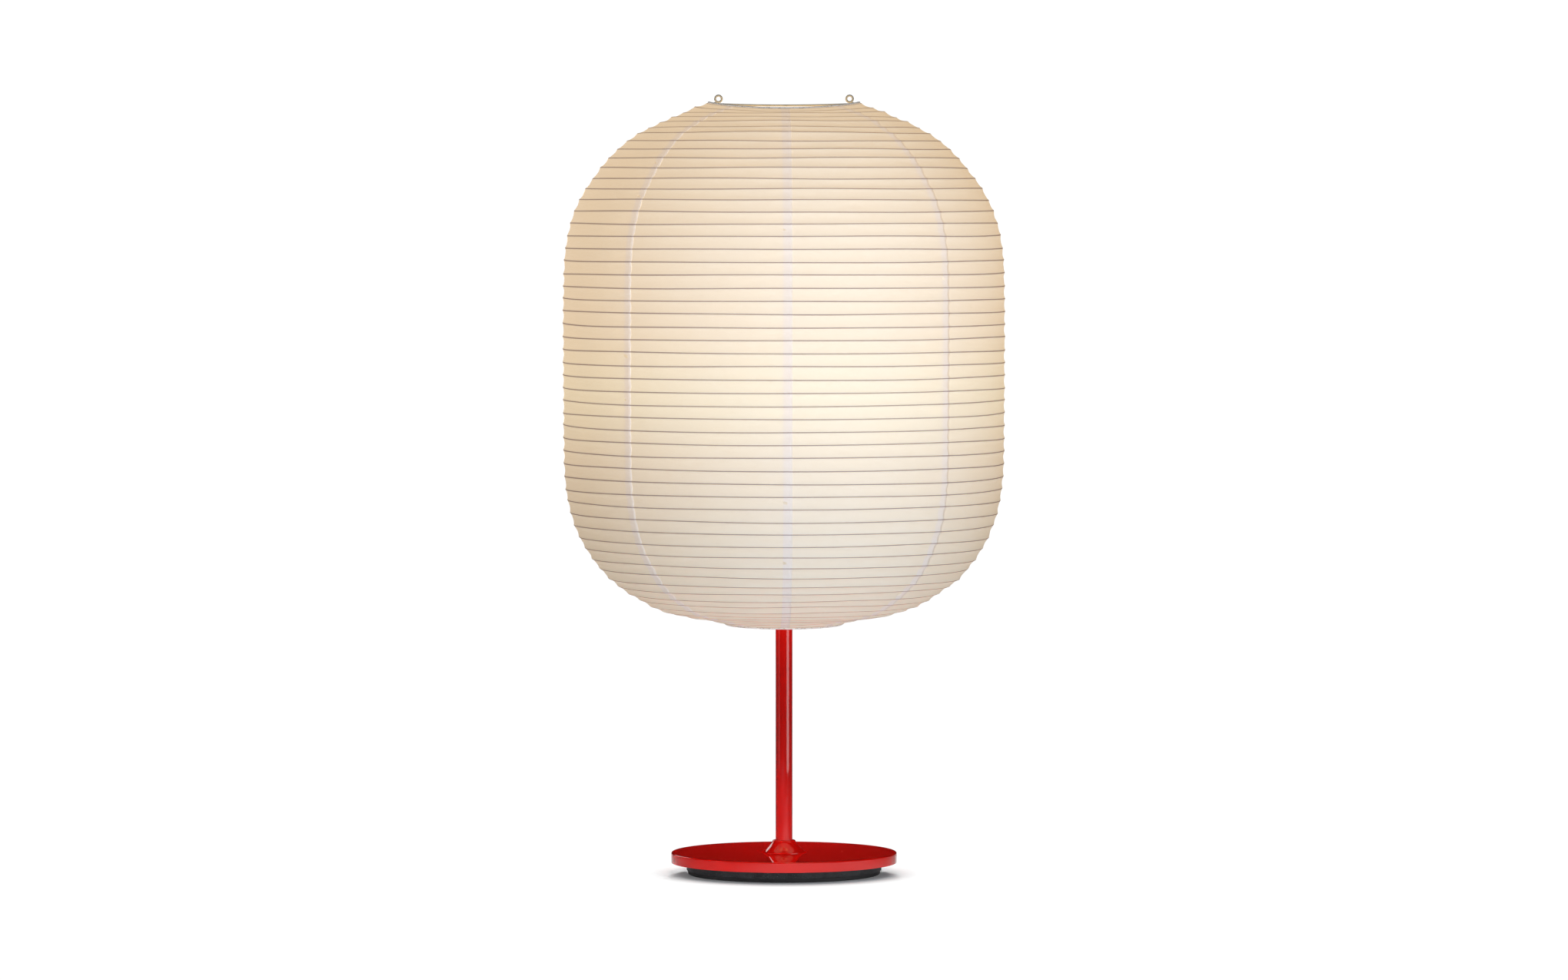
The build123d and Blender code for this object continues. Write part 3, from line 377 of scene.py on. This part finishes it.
@dataclass(frozen=True)
class RicePaper:
    """Rice paper with the bulb's light from within painted on as a warm glow, painted shadows of the ribs behind
    it, pale lapped seams, fibres.
    """

    name: str = "rice_paper"
    sheet: Colour = (0.78, 0.80, 0.79)
    aged: Colour = (0.74, 0.755, 0.735)
    lap: Colour = (0.75, 0.80, 0.89)
    # Painted light: the bulb's warm glow through the paper, given as emission.
    painted_glow: Colour = (0.648, 0.462, 0.270)
    # Painted light: the brighter glow at the bulb's height.
    painted_hot_band: Colour = (0.70, 0.57, 0.33)
    # Painted light: the paler glow on the lapped seams.
    painted_lap_glow: Colour = (0.60, 0.435, 0.278)
    # Painted shadows of the hoops behind the paper: in the glow, and fainter on the sheet.
    rib_shade: Colour = (0.30, 0.235, 0.28)
    rib_shade_on_sheet: Colour = (0.26, 0.22, 0.23)
    # Height and reach of the painted hot band.
    bulb_level: float = 0.457
    painted_hot_band_reach: float = 0.075
    # Painted shade: the glow dims lower down, between these heights, to this share.
    dim_below: tuple[float, float] = (0.23, 0.50)
    low_share: float = 0.52

    def build(self) -> bpy.types.Material:
        """Make the material."""
        graph = ShaderGraph(self.name)
        bay, lap = graph.attribute("bay"), graph.attribute("lap")
        offset = abs(bay - graph.math("ROUND", bay))
        # Hoop lines, for the painted shadows of the hoops, with a faint painted shade spreading round each.
        rib = 1.0 - graph.band(offset, 0.028, 0.060)
        painted_rib_shade_spread = 1.0 - graph.band(offset, 0.04, 0.20)
        # Lapped seams: a paler, bluer sheet with a paler painted glow.
        lapped = graph.band(lap, -0.0001, 0.0003)
        lap_edge = 1.0 - graph.band(abs(lap - 0.0003), 0.0002, 0.0009)
        beside = 1.0 - graph.band(abs(lap), 0.0, 0.055)

        flow = graph.node("ShaderNodeCombineXYZ", {}, {"X": lap, "Y": bay * 0.012}).outputs[0]
        clouds = graph.noise(22.0, 3.0, flow)
        fibres = graph.noise(170.0, 5.0, flow, 1.6)
        creases = graph.noise(75.0, 4.0, flow, 2.5)
        strands = graph.band(abs(creases - 0.5), 0.0, 0.012)
        specks = graph.band(graph.noise(650.0, 1.0, flow), 0.72, 0.77)
        slant = graph.node("ShaderNodeCombineXYZ", {}, {"X": lap * 0.22, "Y": bay * 0.012 + lap * 0.16}).outputs[0]
        pulls = graph.band(graph.noise(120.0, 2.0, slant, 0.4), 0.52, 0.72) * beside

        height_in = graph.node("ShaderNodeSeparateXYZ", {}, {"Vector": graph.place()}).outputs["Z"]
        height_in = Signal(graph, height_in)
        # Painted shade: the glow is dimmer lower down.
        lit = self.low_share + (1.0 - self.low_share) * graph.band(height_in, *self.dim_below)
        # Painted hot band: the glow is brighter near the bulb's height.
        near = abs(height_in - self.bulb_level)
        painted_hot_band = (1.0 - graph.band(near, 0.0, self.painted_hot_band_reach)) * 0.35
        warm = graph.mix(painted_hot_band, self.painted_glow, self.painted_hot_band)
        warm = graph.mix(lapped, warm, self.painted_lap_glow)
        # Fibres, clouds, specks and crease strands vary the painted glow; crease strands are a little darker in it
        # and the wrinkles beside the seams a little brighter.
        texture = 0.94 + clouds * 0.09 + fibres * 0.05 - (1.0 - strands) * 0.02 - specks * 0.04 + pulls * 0.045
        level = lit * texture * (1.0 - painted_rib_shade_spread * 0.04)
        grey = graph.node("ShaderNodeCombineXYZ", {}, {"X": level, "Y": level, "Z": level}).outputs[0]
        # How strongly each hoop's painted shadow darkens the glow and, less, the sheet.
        painted_hoop_shadow = rib * (0.72 + graph.noise(9.0, 2.0, flow) * 0.36)
        shaded = graph.mix(painted_hoop_shadow, (1.0, 1.0, 1.0), self.rib_shade)
        painted_glow = graph.mix(1.0, graph.mix(1.0, warm, grey, "MULTIPLY"), shaded, "MULTIPLY")

        sheet = graph.mix(graph.band(clouds, 0.3, 0.7) * 0.5, self.sheet, self.aged)
        sheet = graph.mix(lapped, sheet, self.lap)
        # The lap's glued edge, drawn as a faint grey line that is also a painted shadow of its step.
        sheet = graph.mix(lap_edge * 0.12, sheet, (0.55, 0.55, 0.60))
        sheet = graph.mix(painted_hoop_shadow * 0.75, sheet, self.rib_shade_on_sheet)
        height = fibres * 0.35 + creases * 0.5 + (1.0 - strands) * 0.3 + rib * 0.5 + pulls * 0.6
        graph.surface(
            Base_Color=sheet,
            Roughness=0.62 + fibres * 0.2,
            Specular_IOR_Level=0.30,
            # The emission is the painted glow of the bulb's light through the paper.
            Emission_Color=painted_glow,
            Emission_Strength=1.0,
            Normal=graph.bump(height, 0.35, 0.0006),
        )
        return graph.material


@dataclass(frozen=True)
class FoldedPaper:
    """Several layers of the paper folded round a rim wire, with a dimmer painted glow than the sheet and painted
    shade in its creases.
    """

    name: str = "rim_paper"
    sheet: Colour = (0.80, 0.82, 0.86)
    # Painted shade in the creases, and the painted glow of light through the folded paper.
    painted_crease_shade: Colour = (0.52, 0.50, 0.49)
    painted_glow: Colour = (0.235, 0.205, 0.175)

    def build(self) -> bpy.types.Material:
        """Make the material."""
        graph = ShaderGraph(self.name)
        crumple = graph.noise(160.0, 4.0)
        fibres = graph.noise(700.0, 3.0)
        folds = graph.band(abs(crumple - 0.5), 0.0, 0.05)
        graph.surface(
            # Creases: painted shade on the sheet and in the glow.
            Base_Color=graph.mix(folds, self.painted_crease_shade, self.sheet),
            Roughness=0.6 + fibres * 0.2,
            Emission_Color=graph.mix(folds * 0.5 + 0.5, (0.15, 0.13, 0.11), self.painted_glow),
            Emission_Strength=1.0,
            Normal=graph.bump(crumple * 0.7 + fibres * 0.3, 0.4, 0.0004),
        )
        return graph.material


@dataclass(frozen=True)
class OpalGlow:
    """Opal plastic lit from within."""

    name: str = "opal_globe"
    colour: Colour = (0.95, 0.93, 0.86)
    light: Colour = (1.0, 0.80, 0.52)
    strength: float = 1.2

    def build(self) -> bpy.types.Material:
        """Make the material."""
        graph = ShaderGraph(self.name)
        haze = graph.noise(60.0, 3.0)
        graph.surface(
            Base_Color=graph.mix(haze, self.colour, (0.90, 0.88, 0.83)),
            Roughness=0.25 + haze * 0.1,
            Emission_Color=graph.mix(haze * 0.3, self.light, (1.0, 0.86, 0.62)),
            Emission_Strength=self.strength,
            Normal=graph.bump(graph.noise(500.0), 0.05, 0.0001),
        )
        return graph.material


FINISHES = {
    finish.name: finish
    for finish in (
        Lacquer(),
        CastIron(),
        RicePaper(),
        FoldedPaper(),
        OpalGlow(),
        Finish("black_rubber", (0.020, 0.020, 0.021), (0.011, 0.011, 0.012), (0.6, 0.8), grain=900, relief=0.3),
        Finish("black_plastic", (0.022, 0.022, 0.023), (0.014, 0.014, 0.015), (0.3, 0.45), grain=1200, relief=0.12),
        Finish("zinc_steel", (0.74, 0.73, 0.72), (0.58, 0.57, 0.56), (0.28, 0.45), 0.45, 700, 60),
        Finish("white_wire", (0.80, 0.76, 0.66), (0.68, 0.63, 0.52), (0.28, 0.42), grain=900, drift=90, coat=0.35),
        Finish("natural_plastic", (0.86, 0.84, 0.78), (0.78, 0.75, 0.68), (0.4, 0.55), grain=900, relief=0.1),
        Finish("brass", (0.80, 0.58, 0.25), (0.62, 0.42, 0.17), (0.22, 0.4), 1.0, 800, 90),
        Finish("brown_insulation", (0.20, 0.08, 0.04), (0.15, 0.06, 0.03), (0.35, 0.45), grain=900, relief=0.06),
        Finish("blue_insulation", (0.07, 0.16, 0.55), (0.05, 0.12, 0.42), (0.35, 0.45), grain=900, relief=0.06),
        Finish("green_insulation", (0.22, 0.50, 0.08), (0.16, 0.40, 0.06), (0.35, 0.45), grain=900, relief=0.06),
        Finish("steatite", (0.88, 0.86, 0.80), (0.80, 0.77, 0.70), (0.3, 0.45), grain=1100, relief=0.15, coat=0.3),
        Finish("screw_metal", (0.78, 0.78, 0.77), (0.66, 0.66, 0.66), (0.18, 0.34), 1.0, 900, 120),
        Finish("clear_silicone", (0.72, 0.72, 0.68), (0.62, 0.62, 0.58), (0.3, 0.45), grain=500, relief=0.08),
        Finish("solder", (0.60, 0.60, 0.60), (0.45, 0.45, 0.46), (0.25, 0.45), 1.0, 1500, 300),
        Finish("black_glass", (0.020, 0.020, 0.022), (0.012, 0.012, 0.014), (0.08, 0.14), grain=500, relief=0.03),
        Finish("white_plastic", (0.86, 0.86, 0.84), (0.80, 0.80, 0.78), (0.28, 0.4), grain=900, relief=0.06),
        Finish("board_metal", (0.88, 0.88, 0.88), (0.78, 0.78, 0.78), (0.35, 0.5), grain=900, relief=0.06),
        Finish("emitter", (0.95, 0.82, 0.35), (0.88, 0.74, 0.28), (0.3, 0.4), grain=1200, relief=0.05),
        Finish("board_green", (0.05, 0.28, 0.12), (0.03, 0.2, 0.08), (0.35, 0.5), grain=600, relief=0.1),
        Finish("hoop_bamboo", (0.55, 0.46, 0.36), (0.38, 0.30, 0.22), (0.5, 0.7), grain=900, drift=200),
    )
}


class Workshop:
    """Keeps the finished materials and dresses pieces with them."""

    def __init__(self) -> None:
        """Start with an empty rack of materials."""
        self.rack: dict[str, bpy.types.Material] = {}

    def material(self, slot: str) -> bpy.types.Material:
        """The material of a slot, built the first time it is asked for."""
        if slot not in self.rack:
            self.rack[slot] = FINISHES[slot].build()
        return self.rack[slot]

    def dress(self, piece: bpy.types.Object, slot: str) -> None:
        """Put one slot's material all over a piece.

        Args:
            piece: the object.
            slot: the material slot's name.
        """
        piece.data.materials.clear()
        piece.data.materials.append(self.material(slot))

    def dress_node(self, node: str, slot: str) -> None:
        """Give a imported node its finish.

        Args:
            node: the node's name.
            slot: the material slot's name.
        """
        self.dress(frame["nodes"][node], slot)
        LOG.info("dressed %s with %s", node, slot)

    def new_piece(
        self,
        name: str,
        mesh: bmesh.types.BMesh,
        slot: str,
        body: Body,
        stands_for: Iterable[str] = (),
        sharp: float = 40.0,
    ) -> bpy.types.Object:
        """Turn a bmesh into a piece that rides on a body.

        Args:
            name: the piece's name.
            mesh: its shape, freed here.
            slot: the material slot it takes its finish from.
            body: the body it moves with.
            stands_for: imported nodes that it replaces.
            sharp: edges sharper than this stay crisp, in degrees.

        Returns:
            The new object.
        """
        data = bpy.data.meshes.new(name)
        mesh.to_mesh(data)
        mesh.free()
        data.polygons.foreach_set("use_smooth", [True] * len(data.polygons))
        data.set_sharp_from_angle(angle=math.radians(sharp))
        piece = bpy.data.objects.new(name, data)
        bpy.context.scene.collection.objects.link(piece)
        self.dress(piece, slot)
        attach(piece, body.value)
        if stands_for:
            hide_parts(*stands_for)
        LOG.info("built %s: %d faces, rides on %s", name, len(data.polygons), body.value)
        return piece


# ---------------------------------------------------------------- shapes
def spun(profile: Profile, steps: int, closed: bool = True) -> bmesh.types.BMesh:
    """A full turn of a profile about the lamp's axis.

    Args:
        profile: (radius, height) corners.
        steps: faces round the turn.
        closed: whether the last corner joins the first.

    Returns:
        The mesh, merged, with its faces outwards.
    """
    mesh = bmesh.new()
    corners = [mesh.verts.new((radius, 0.0, height)) for radius, height in profile]
    links = list(zip(corners, corners[1:] + corners[:1] if closed else corners[1:]))
    edges = [mesh.edges.new(pair) for pair in links]
    bmesh.ops.spin(
        mesh,
        geom=corners + edges,
        axis=(0, 0, 1),
        cent=(0, 0, 0),
        angle=math.tau,
        steps=steps,
        use_merge=True,
    )
    bmesh.ops.remove_doubles(mesh, verts=mesh.verts, dist=1e-6)
    bmesh.ops.recalc_face_normals(mesh, faces=mesh.faces)
    return mesh


# ---------------------------------------------------------------- shade
@dataclass
class PaperShade:
    """Eight lapped rice-paper gores on thin hoops, with folded mouths."""

    workshop: Workshop
    gore_count: int = 8
    hoop_count: int = 53
    first_seam: float = math.radians(-89.0)
    lap_width: float = 0.0085
    lap_lift: float = 0.00018
    paper: float = 0.0002
    plain_columns: int = 24
    lap_columns: int = 3
    rows: int = 6
    scallop: float = 0.0012
    wobble: float = 0.00042
    top_sag: float = 0.0062
    bottom_sag: float = 0.0012
    sag_bays: float = 5.0
    hoop_radius: float = 0.00045
    hoop_steps: int = 96
    fold_radius: float = 0.0013
    outline: list[Vector] = field(default_factory=list)

    @property
    def bays(self) -> int:
        """Bays between the hoops, mouth to mouth."""
        return self.hoop_count + 1

    def measure_outline(self) -> None:
        """Read the outer outline from a packed gore, and share it out evenly along its length."""
        node = frame["nodes"]["paper_gore_1"]
        low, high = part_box("paper_gore_1")
        solid = bmesh.new()
        solid.from_mesh(node.data)
        tree = BVHTree.FromBMesh(solid)
        solid.free()
        azimuth = self.first_seam + math.pi / self.gore_count
        outwards = Vector((math.cos(azimuth), math.sin(azimuth), 0.0))
        middle = Vector((0.0, 0.0, (low.z + high.z) / 2))
        found: list[Vector] = []
        count = 700
        for step in range(count + 1):
            tilt = math.pi / 2 - math.pi * step / count
            ray = outwards * math.cos(tilt) + Vector((0.0, 0.0, math.sin(tilt)))
            hit = tree.ray_cast(middle + ray, -ray, 1.0)[0]
            if hit is not None:
                found.append(Vector((hit.to_2d().length, hit.z)))
        lengths = [0.0]
        for one, two in zip(found, found[1:]):
            lengths.append(lengths[-1] + (two - one).length)
        steps = self.bays * 4
        index = 0
        for step in range(steps + 1):
            along = lengths[-1] * step / steps
            while index < len(found) - 2 and lengths[index + 1] < along:
                index += 1
            share = (along - lengths[index]) / max(lengths[index + 1] - lengths[index], 1e-9)
            self.outline.append(found[index].lerp(found[index + 1], min(share, 1.0)))
        LOG.info("outline: %d rays met the paper, length %.4f m", len(found), lengths[-1])

    def on_outline(self, bay: float) -> tuple[Vector, Vector]:
        """Place and inward direction on the outline.

        Args:
            bay: how many bays below the top rim.

        Returns:
            (radius, height) and the unit vector into the shade, as (radius, height).
        """
        last = len(self.outline) - 1
        spot = min(max(bay * 4, 0.0), float(last))
        index = min(int(spot), last - 1)
        here = self.outline[index].lerp(self.outline[index + 1], spot - index)
        one, two = self.outline[max(index - 2, 0)], self.outline[min(index + 3, last)]
        along = (two - one).normalized()
        return here, Vector((along.y, -along.x))

    def drift(self, bay: float, azimuth: float) -> float:
        """How far a hoop strays from level, in metres."""
        if bay <= 0.0 or bay >= self.bays:
            return 0.0
        low = math.floor(bay)
        share = bay - low

        def of(rib: int) -> float:
            """One hoop's own stray."""
            if rib <= 0 or rib >= self.bays:
                return 0.0
            wave = 0.0
            for order in (1, 2, 3, 5, 7):
                phase = noise.noise(Vector((rib * 1.37, order * 2.11, 0.5))) * 9.0
                wave += math.sin(order * azimuth + phase) / (0.8 + 0.35 * order)
            return self.wobble * wave + 0.0009 * noise.noise(Vector((rib * 0.83, 4.2, 7.7)))

        return of(low) * (1.0 - share) + of(low + 1) * share

    def sag(self, bay: float, azimuth: float) -> float:
        """How far a mouth hangs below its hooks, in metres."""
        across = abs(math.sin(azimuth)) ** 1.6
        top = max(0.0, 1.0 - bay / self.sag_bays) ** 2
        bottom = max(0.0, 1.0 - (self.bays - bay) / self.sag_bays) ** 2
        return across * (self.top_sag * top + self.bottom_sag * bottom)

    def skin_point(self, bay: float, azimuth: float, seam: float) -> Vector:
        """A point on the paper's outer face.

        Args:
            bay: how many bays below the top rim.
            azimuth: angle round the lamp.
            seam: metres to the nearest seam.

        Returns:
            The point in the lamp's frame.
        """
        here, inward = self.on_outline(bay)
        share = bay - math.floor(bay)
        hollow = math.sin(math.pi * share) ** 0.8 if share > 0 else 0.0
        place = Vector((math.cos(azimuth), math.sin(azimuth), bay * 0.16))
        slack = 1.0 + 0.35 * noise.noise(place * 5.0) + 0.25 * noise.noise(place * 17.0)
        depth = self.scallop * hollow * slack
        near = math.exp(-seam / 0.011)
        round_about = here.x / 0.007
        slope = Vector((math.cos(azimuth) * round_about + bay * 0.9, math.sin(azimuth) * round_about, bay * 1.9))
        depth += hollow * (0.00055 * near + 0.00012) * noise.noise(slope)
        radius = here.x + inward.x * depth
        height = here.y + inward.y * depth + self.drift(bay, azimuth) - self.sag(bay, azimuth)
        return Vector((radius * math.cos(azimuth), radius * math.sin(azimuth), height))

    def gore(self, index: int) -> bpy.types.Object:
        """Build one gore, lapped over the next one's edge.

        Args:
            index: which gore, from 0 at the front seam.

        Returns:
            The gore's new piece.
        """
        mesh = bmesh.new()
        bay_layer = mesh.verts.layers.float.new("bay")
        lap_layer = mesh.verts.layers.float.new("lap")
        count = self.bays * self.rows
        spine = []
        for row in range(count + 1):
            here, _ = self.on_outline(row / self.rows)
            spine.append(mesh.verts.new((here.x, 0.0, here.y)))
            spine[-1][bay_layer] = row / self.rows
        edges = [mesh.edges.new(pair) for pair in zip(spine, spine[1:])]
        width = math.tau / self.gore_count
        columns = self.plain_columns + self.lap_columns
        step = width / self.plain_columns
        bmesh.ops.spin(
            mesh, geom=spine + edges, axis=(0, 0, 1), cent=(0, 0, 0), angle=step * columns, steps=columns
        )
        for vertex in mesh.verts:
            column = round(math.atan2(vertex.co.y, vertex.co.x) / step)
            bay = vertex[bay_layer]
            radius = self.on_outline(bay)[0].x
            lap_angle = self.lap_width / radius
            over = max(0, column - self.plain_columns) / self.lap_columns
            turn = min(column, self.plain_columns) * step + over * lap_angle
            from_start = (turn - lap_angle / 2) * radius
            lap = (turn - width) * radius
            azimuth = self.first_seam + index * width + turn - lap_angle / 2
            seam = min(abs(from_start), abs(width * radius - from_start))
            point = self.skin_point(bay, azimuth, seam)
            if over:
                point += Vector((point.x, point.y, 0.0)).normalized() * self.lap_lift
            vertex.co = point
            vertex[lap_layer] = lap
        bmesh.ops.recalc_face_normals(mesh, faces=mesh.faces)
        probe = mesh.faces[len(mesh.faces) // 2]
        if probe.normal.dot(Vector((probe.calc_center_median().x, probe.calc_center_median().y, 0.0))) < 0:
            bmesh.ops.reverse_faces(mesh, faces=mesh.faces)
        name = f"gore_skin_{index + 1}"
        piece = self.workshop.new_piece(
            name, mesh, "rice_paper", Body.SHADE, [f"paper_gore_{index + 1}"], sharp=60.0
        )
        wall = piece.modifiers.new("paper", "SOLIDIFY")
        wall.thickness = self.paper
        wall.offset = -1.0
        return piece

    def hoops(self) -> bpy.types.Object:
        """Thin round hoops that follow the paper's ribs."""
        whole = bmesh.new()
        sides = 6
        for rib in range(1, self.bays):
            here, inward = self.on_outline(rib)
            depth = self.paper + self.hoop_radius * 1.1
            middle = here + inward * depth
            section = [
                (
                    middle.x + self.hoop_radius * math.cos(math.tau * side / sides),
                    middle.y + self.hoop_radius * math.sin(math.tau * side / sides),
                )
                for side in range(sides)
            ]
            ring = spun(section, self.hoop_steps)
            for vertex in ring.verts:
                azimuth = math.atan2(vertex.co.y, vertex.co.x)
                vertex.co.z += self.drift(rib, azimuth) - self.sag(rib, azimuth)
            data = bpy.data.meshes.new("ring")
            ring.to_mesh(data)
            ring.free()
            whole.from_mesh(data)
            bpy.data.meshes.remove(data)
        return self.workshop.new_piece("hoop_wires", whole, "hoop_bamboo", Body.SHADE, ["shade_hoops"], 80.0)

    def fold(self, name: str, node: str, bay: float, inwards: float) -> bpy.types.Object:
        """The paper folded round a rim wire, with its turned-in hem.

        Args:
            name: the piece's name.
            node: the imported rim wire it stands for.
            bay: which end of the outline, in bays.
            inwards: 1 where the hem hangs down inside, -1 where it stands up.

        Returns:
            The new piece.
        """
        here, inward = self.on_outline(bay)
        low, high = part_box(node)
        level, radius = (low.z + high.z) / 2, high.x - (high.z - low.z) / 2
        bend = self.fold_radius
        profile: Profile = []
        for step in range(9):
            angle = math.pi * step / 8
            profile.append((radius + bend * math.cos(angle), level + inwards * bend * math.sin(angle)))
        profile.append((radius - bend * 0.9, level - inwards * 0.0045))
        profile.append((radius - bend * 0.7, level - inwards * 0.0045))
        for step in range(9):
            angle = math.pi - math.pi * step / 8
            profile.append(
                (radius + bend * 0.85 * math.cos(angle), level + inwards * bend * 0.85 * math.sin(angle))
            )
        mesh = spun(profile, 144)
        for vertex in mesh.verts:
            azimuth = math.atan2(vertex.co.y, vertex.co.x)
            crinkle = noise.noise(Vector((math.cos(azimuth), math.sin(azimuth), bay)) * 22.0) * 0.00025
            vertex.co.z += crinkle - self.sag(bay, azimuth)
            vertex.co += Vector((vertex.co.x, vertex.co.y, 0.0)).normalized() * crinkle
        return self.workshop.new_piece(name, mesh, "rim_paper", Body.SHADE, [node], 70.0)

    def build(self) -> None:
        """Make every piece of the shade."""
        self.measure_outline()
        self.hoops()
        for index in range(self.gore_count):
            self.gore(index)
        self.fold("top_fold", "top_rim", 0.0, 1.0)
        self.fold("bottom_fold", "bottom_rim", float(self.bays), -1.0)


# ---------------------------------------------------------------- stand
@dataclass
class FittedParts:
    """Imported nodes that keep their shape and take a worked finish."""

    workshop: Workshop

    def build(self) -> None:
        """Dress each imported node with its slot's finish."""
        for part in frame["record"]["subparts"]:
            self.workshop.dress_node(part["node"], part["material_slot"])


# ---------------------------------------------------------------- studio
@dataclass
class Studio:
    """Pale floor, white surround, soft lights and the camera."""

    distance: float = 6.6
    eye_height: float = 0.650
    aim_height: float = 0.3647
    view_width: float = 1.485
    bright_patch: tuple[float, float, float] = (0.14, -0.26, 0.0)
    sensor: float = 36.0

    def camera(self) -> None:
        """Stand the camera in front of the lamp, at the height of the shade."""
        data = bpy.data.cameras.new("camera")
        data.sensor_width = self.sensor
        data.lens = self.sensor * self.distance / self.view_width
        data.clip_end = 100.0
        eye = Vector((0.0, -self.distance, self.eye_height))
        piece = bpy.data.objects.new("camera", data)
        piece.location = eye
        piece.rotation_euler = (Vector((0.0, 0.0, self.aim_height)) - eye).to_track_quat("-Z", "Y").to_euler()
        bpy.context.scene.collection.objects.link(piece)
        bpy.context.scene.camera = piece

    def lamp(
        self,
        name: str,
        spot: Vector,
        aim: Vector,
        size: tuple[float, float],
        power: float,
        colour: Colour,
        seen_by: str = "both",
        spread: float = 180.0,
    ) -> None:
        """Add a rectangular soft light.

        Args:
            name: the light's name.
            spot: where it stands.
            aim: what it faces.
            size: its width and height.
            power: watts.
            colour: its tint.
            seen_by: "both", or only "matt" or "gloss" surfaces.
            spread: how wide its beam opens, in degrees.
        """
        data = bpy.data.lights.new(name, "AREA")
        data.shape = "RECTANGLE"
        data.size, data.size_y = size
        data.spread = math.radians(spread)
        data.energy = power
        data.color = colour
        piece = bpy.data.objects.new(name, data)
        piece.visible_camera = False
        piece.visible_diffuse = seen_by != "gloss"
        piece.visible_glossy = seen_by != "matt"
        piece.location = spot
        piece.rotation_euler = (aim - spot).to_track_quat("-Z", "Y").to_euler()
        bpy.context.scene.collection.objects.link(piece)

    @staticmethod
    def around(azimuth: float, reach: float, height: float) -> Vector:
        """A place round the lamp; azimuth 0 is its front and 90 its right, in degrees."""
        angle = math.radians(azimuth)
        return Vector((reach * math.sin(angle), -reach * math.cos(angle), height))

    def surround(self) -> None:
        """White behind the lamp, and a soft grey room for its reflections."""
        world = bpy.data.worlds.new("surround")
        world.use_nodes = True
        tree = world.node_tree
        tree.nodes.clear()
        seen = tree.nodes.new("ShaderNodeBackground")
        seen.inputs["Color"].default_value = (1.0, 1.0, 1.0, 1.0)
        seen.inputs["Strength"].default_value = 1.05
        room = tree.nodes.new("ShaderNodeBackground")
        room.inputs["Color"].default_value = (0.97, 0.98, 1.0, 1.0)
        room.inputs["Strength"].default_value = 0.004
        path = tree.nodes.new("ShaderNodeLightPath")
        mix = tree.nodes.new("ShaderNodeMixShader")
        out = tree.nodes.new("ShaderNodeOutputWorld")
        tree.links.new(path.outputs["Is Camera Ray"], mix.inputs[0])
        tree.links.new(room.outputs[0], mix.inputs[1])
        tree.links.new(seen.outputs[0], mix.inputs[2])
        tree.links.new(mix.outputs[0], out.inputs[0])
        bpy.context.scene.world = world

    def floor(self) -> None:
        """A pale round floor that fades into the white surround."""
        mesh = bmesh.new()
        bmesh.ops.create_circle(mesh, cap_ends=True, segments=128, radius=9.0)
        data = bpy.data.meshes.new("floor")
        mesh.to_mesh(data)
        mesh.free()
        piece = bpy.data.objects.new("floor", data)
        bpy.context.scene.collection.objects.link(piece)
        graph = ShaderGraph("pale_floor")
        far = Signal(
            graph,
            graph.node("ShaderNodeVectorMath", {"operation": "LENGTH"}, {0: graph.place()}).outputs["Value"],
        )
        away = graph.band(far, 0.097, 0.136)
        front = graph.node(
            "ShaderNodeVectorMath", {"operation": "DISTANCE"}, {0: graph.place(), 1: self.bright_patch}
        )
        nearby = 1.0 - graph.band(Signal(graph, front.outputs["Value"]), 0.16, 0.34)
        graph.surface(
            Base_Color=(0.86, 0.86, 0.86),
            Roughness=0.7,
            Specular_IOR_Level=0.2,
            Emission_Color=(1.0, 1.0, 1.0),
            Emission_Strength=0.06,
        )
        white = graph.node("ShaderNodeEmission", {}, {"Color": (1.0, 1.0, 1.0), "Strength": 1.05})
        path = graph.node("ShaderNodeLightPath").outputs
        seen = Signal(graph, path["Is Camera Ray"]) + Signal(graph, path["Is Glossy Ray"]) * nearby
        blend = graph.node(
            "ShaderNodeMixShader",
            {},
            {0: away * seen, 1: graph.shader.outputs[0], 2: white.outputs[0]},
        )
        graph.feed(graph.output.inputs["Surface"], blend.outputs[0])
        data.materials.append(graph.material)

    def build(self) -> None:
        """Set the stage."""
        self.camera()
        self.surround()
        self.floor()
        cool, plain = (0.86, 1.0, 1.12), (0.97, 0.99, 1.0)
        middle = Vector((0.0, 0.0, 0.42))
        foot = Vector((0.0, 0.0, 0.012))
        self.lamp("key_strip", self.around(26.0, 0.85, 0.43), middle, (0.35, 0.75), 1.58, cool, "matt")
        self.lamp("top_fill", self.around(8.0, 1.0, 1.45), middle, (0.5, 0.5), 1.5, cool, "matt")
        self.lamp("low_strip", self.around(24.0, 0.7, 0.07), foot, (0.5, 0.08), 0.085, plain, "matt", 22.0)
        self.lamp("low_left", self.around(-62.0, 0.7, 0.07), foot, (0.3, 0.08), 0.045, plain, "matt", 22.0)
        self.lamp("rear_wash", self.around(180.0, 0.7, 0.20), foot, (0.25, 0.12), 0.60, plain, "matt", 30.0)
        self.lamp("front_fill", self.around(-14.0, 1.3, 0.46), middle, (0.5, 0.8), 1.85, cool, "matt")
        self.lamp("right_gloss", self.around(54.0, 1.0, 0.15), foot, (0.66, 0.28), 2.2, plain, "gloss")
        self.lamp("left_gloss", self.around(-72.0, 1.2, 0.30), middle, (0.20, 1.0), 0.7, plain, "gloss")
        self.lamp("rear_softbox", Vector((-1.6, 2.6, 1.3)), middle, (1.2, 1.2), 12.0, plain)
        bpy.context.scene.view_settings.view_transform = "Standard"


def main() -> None:
    """Build the lamp's looks in order."""
    workshop = Workshop()
    Studio().build()
    PaperShade(workshop).build()
    FittedParts(workshop).build()


if __name__ == "__main__":
    main()
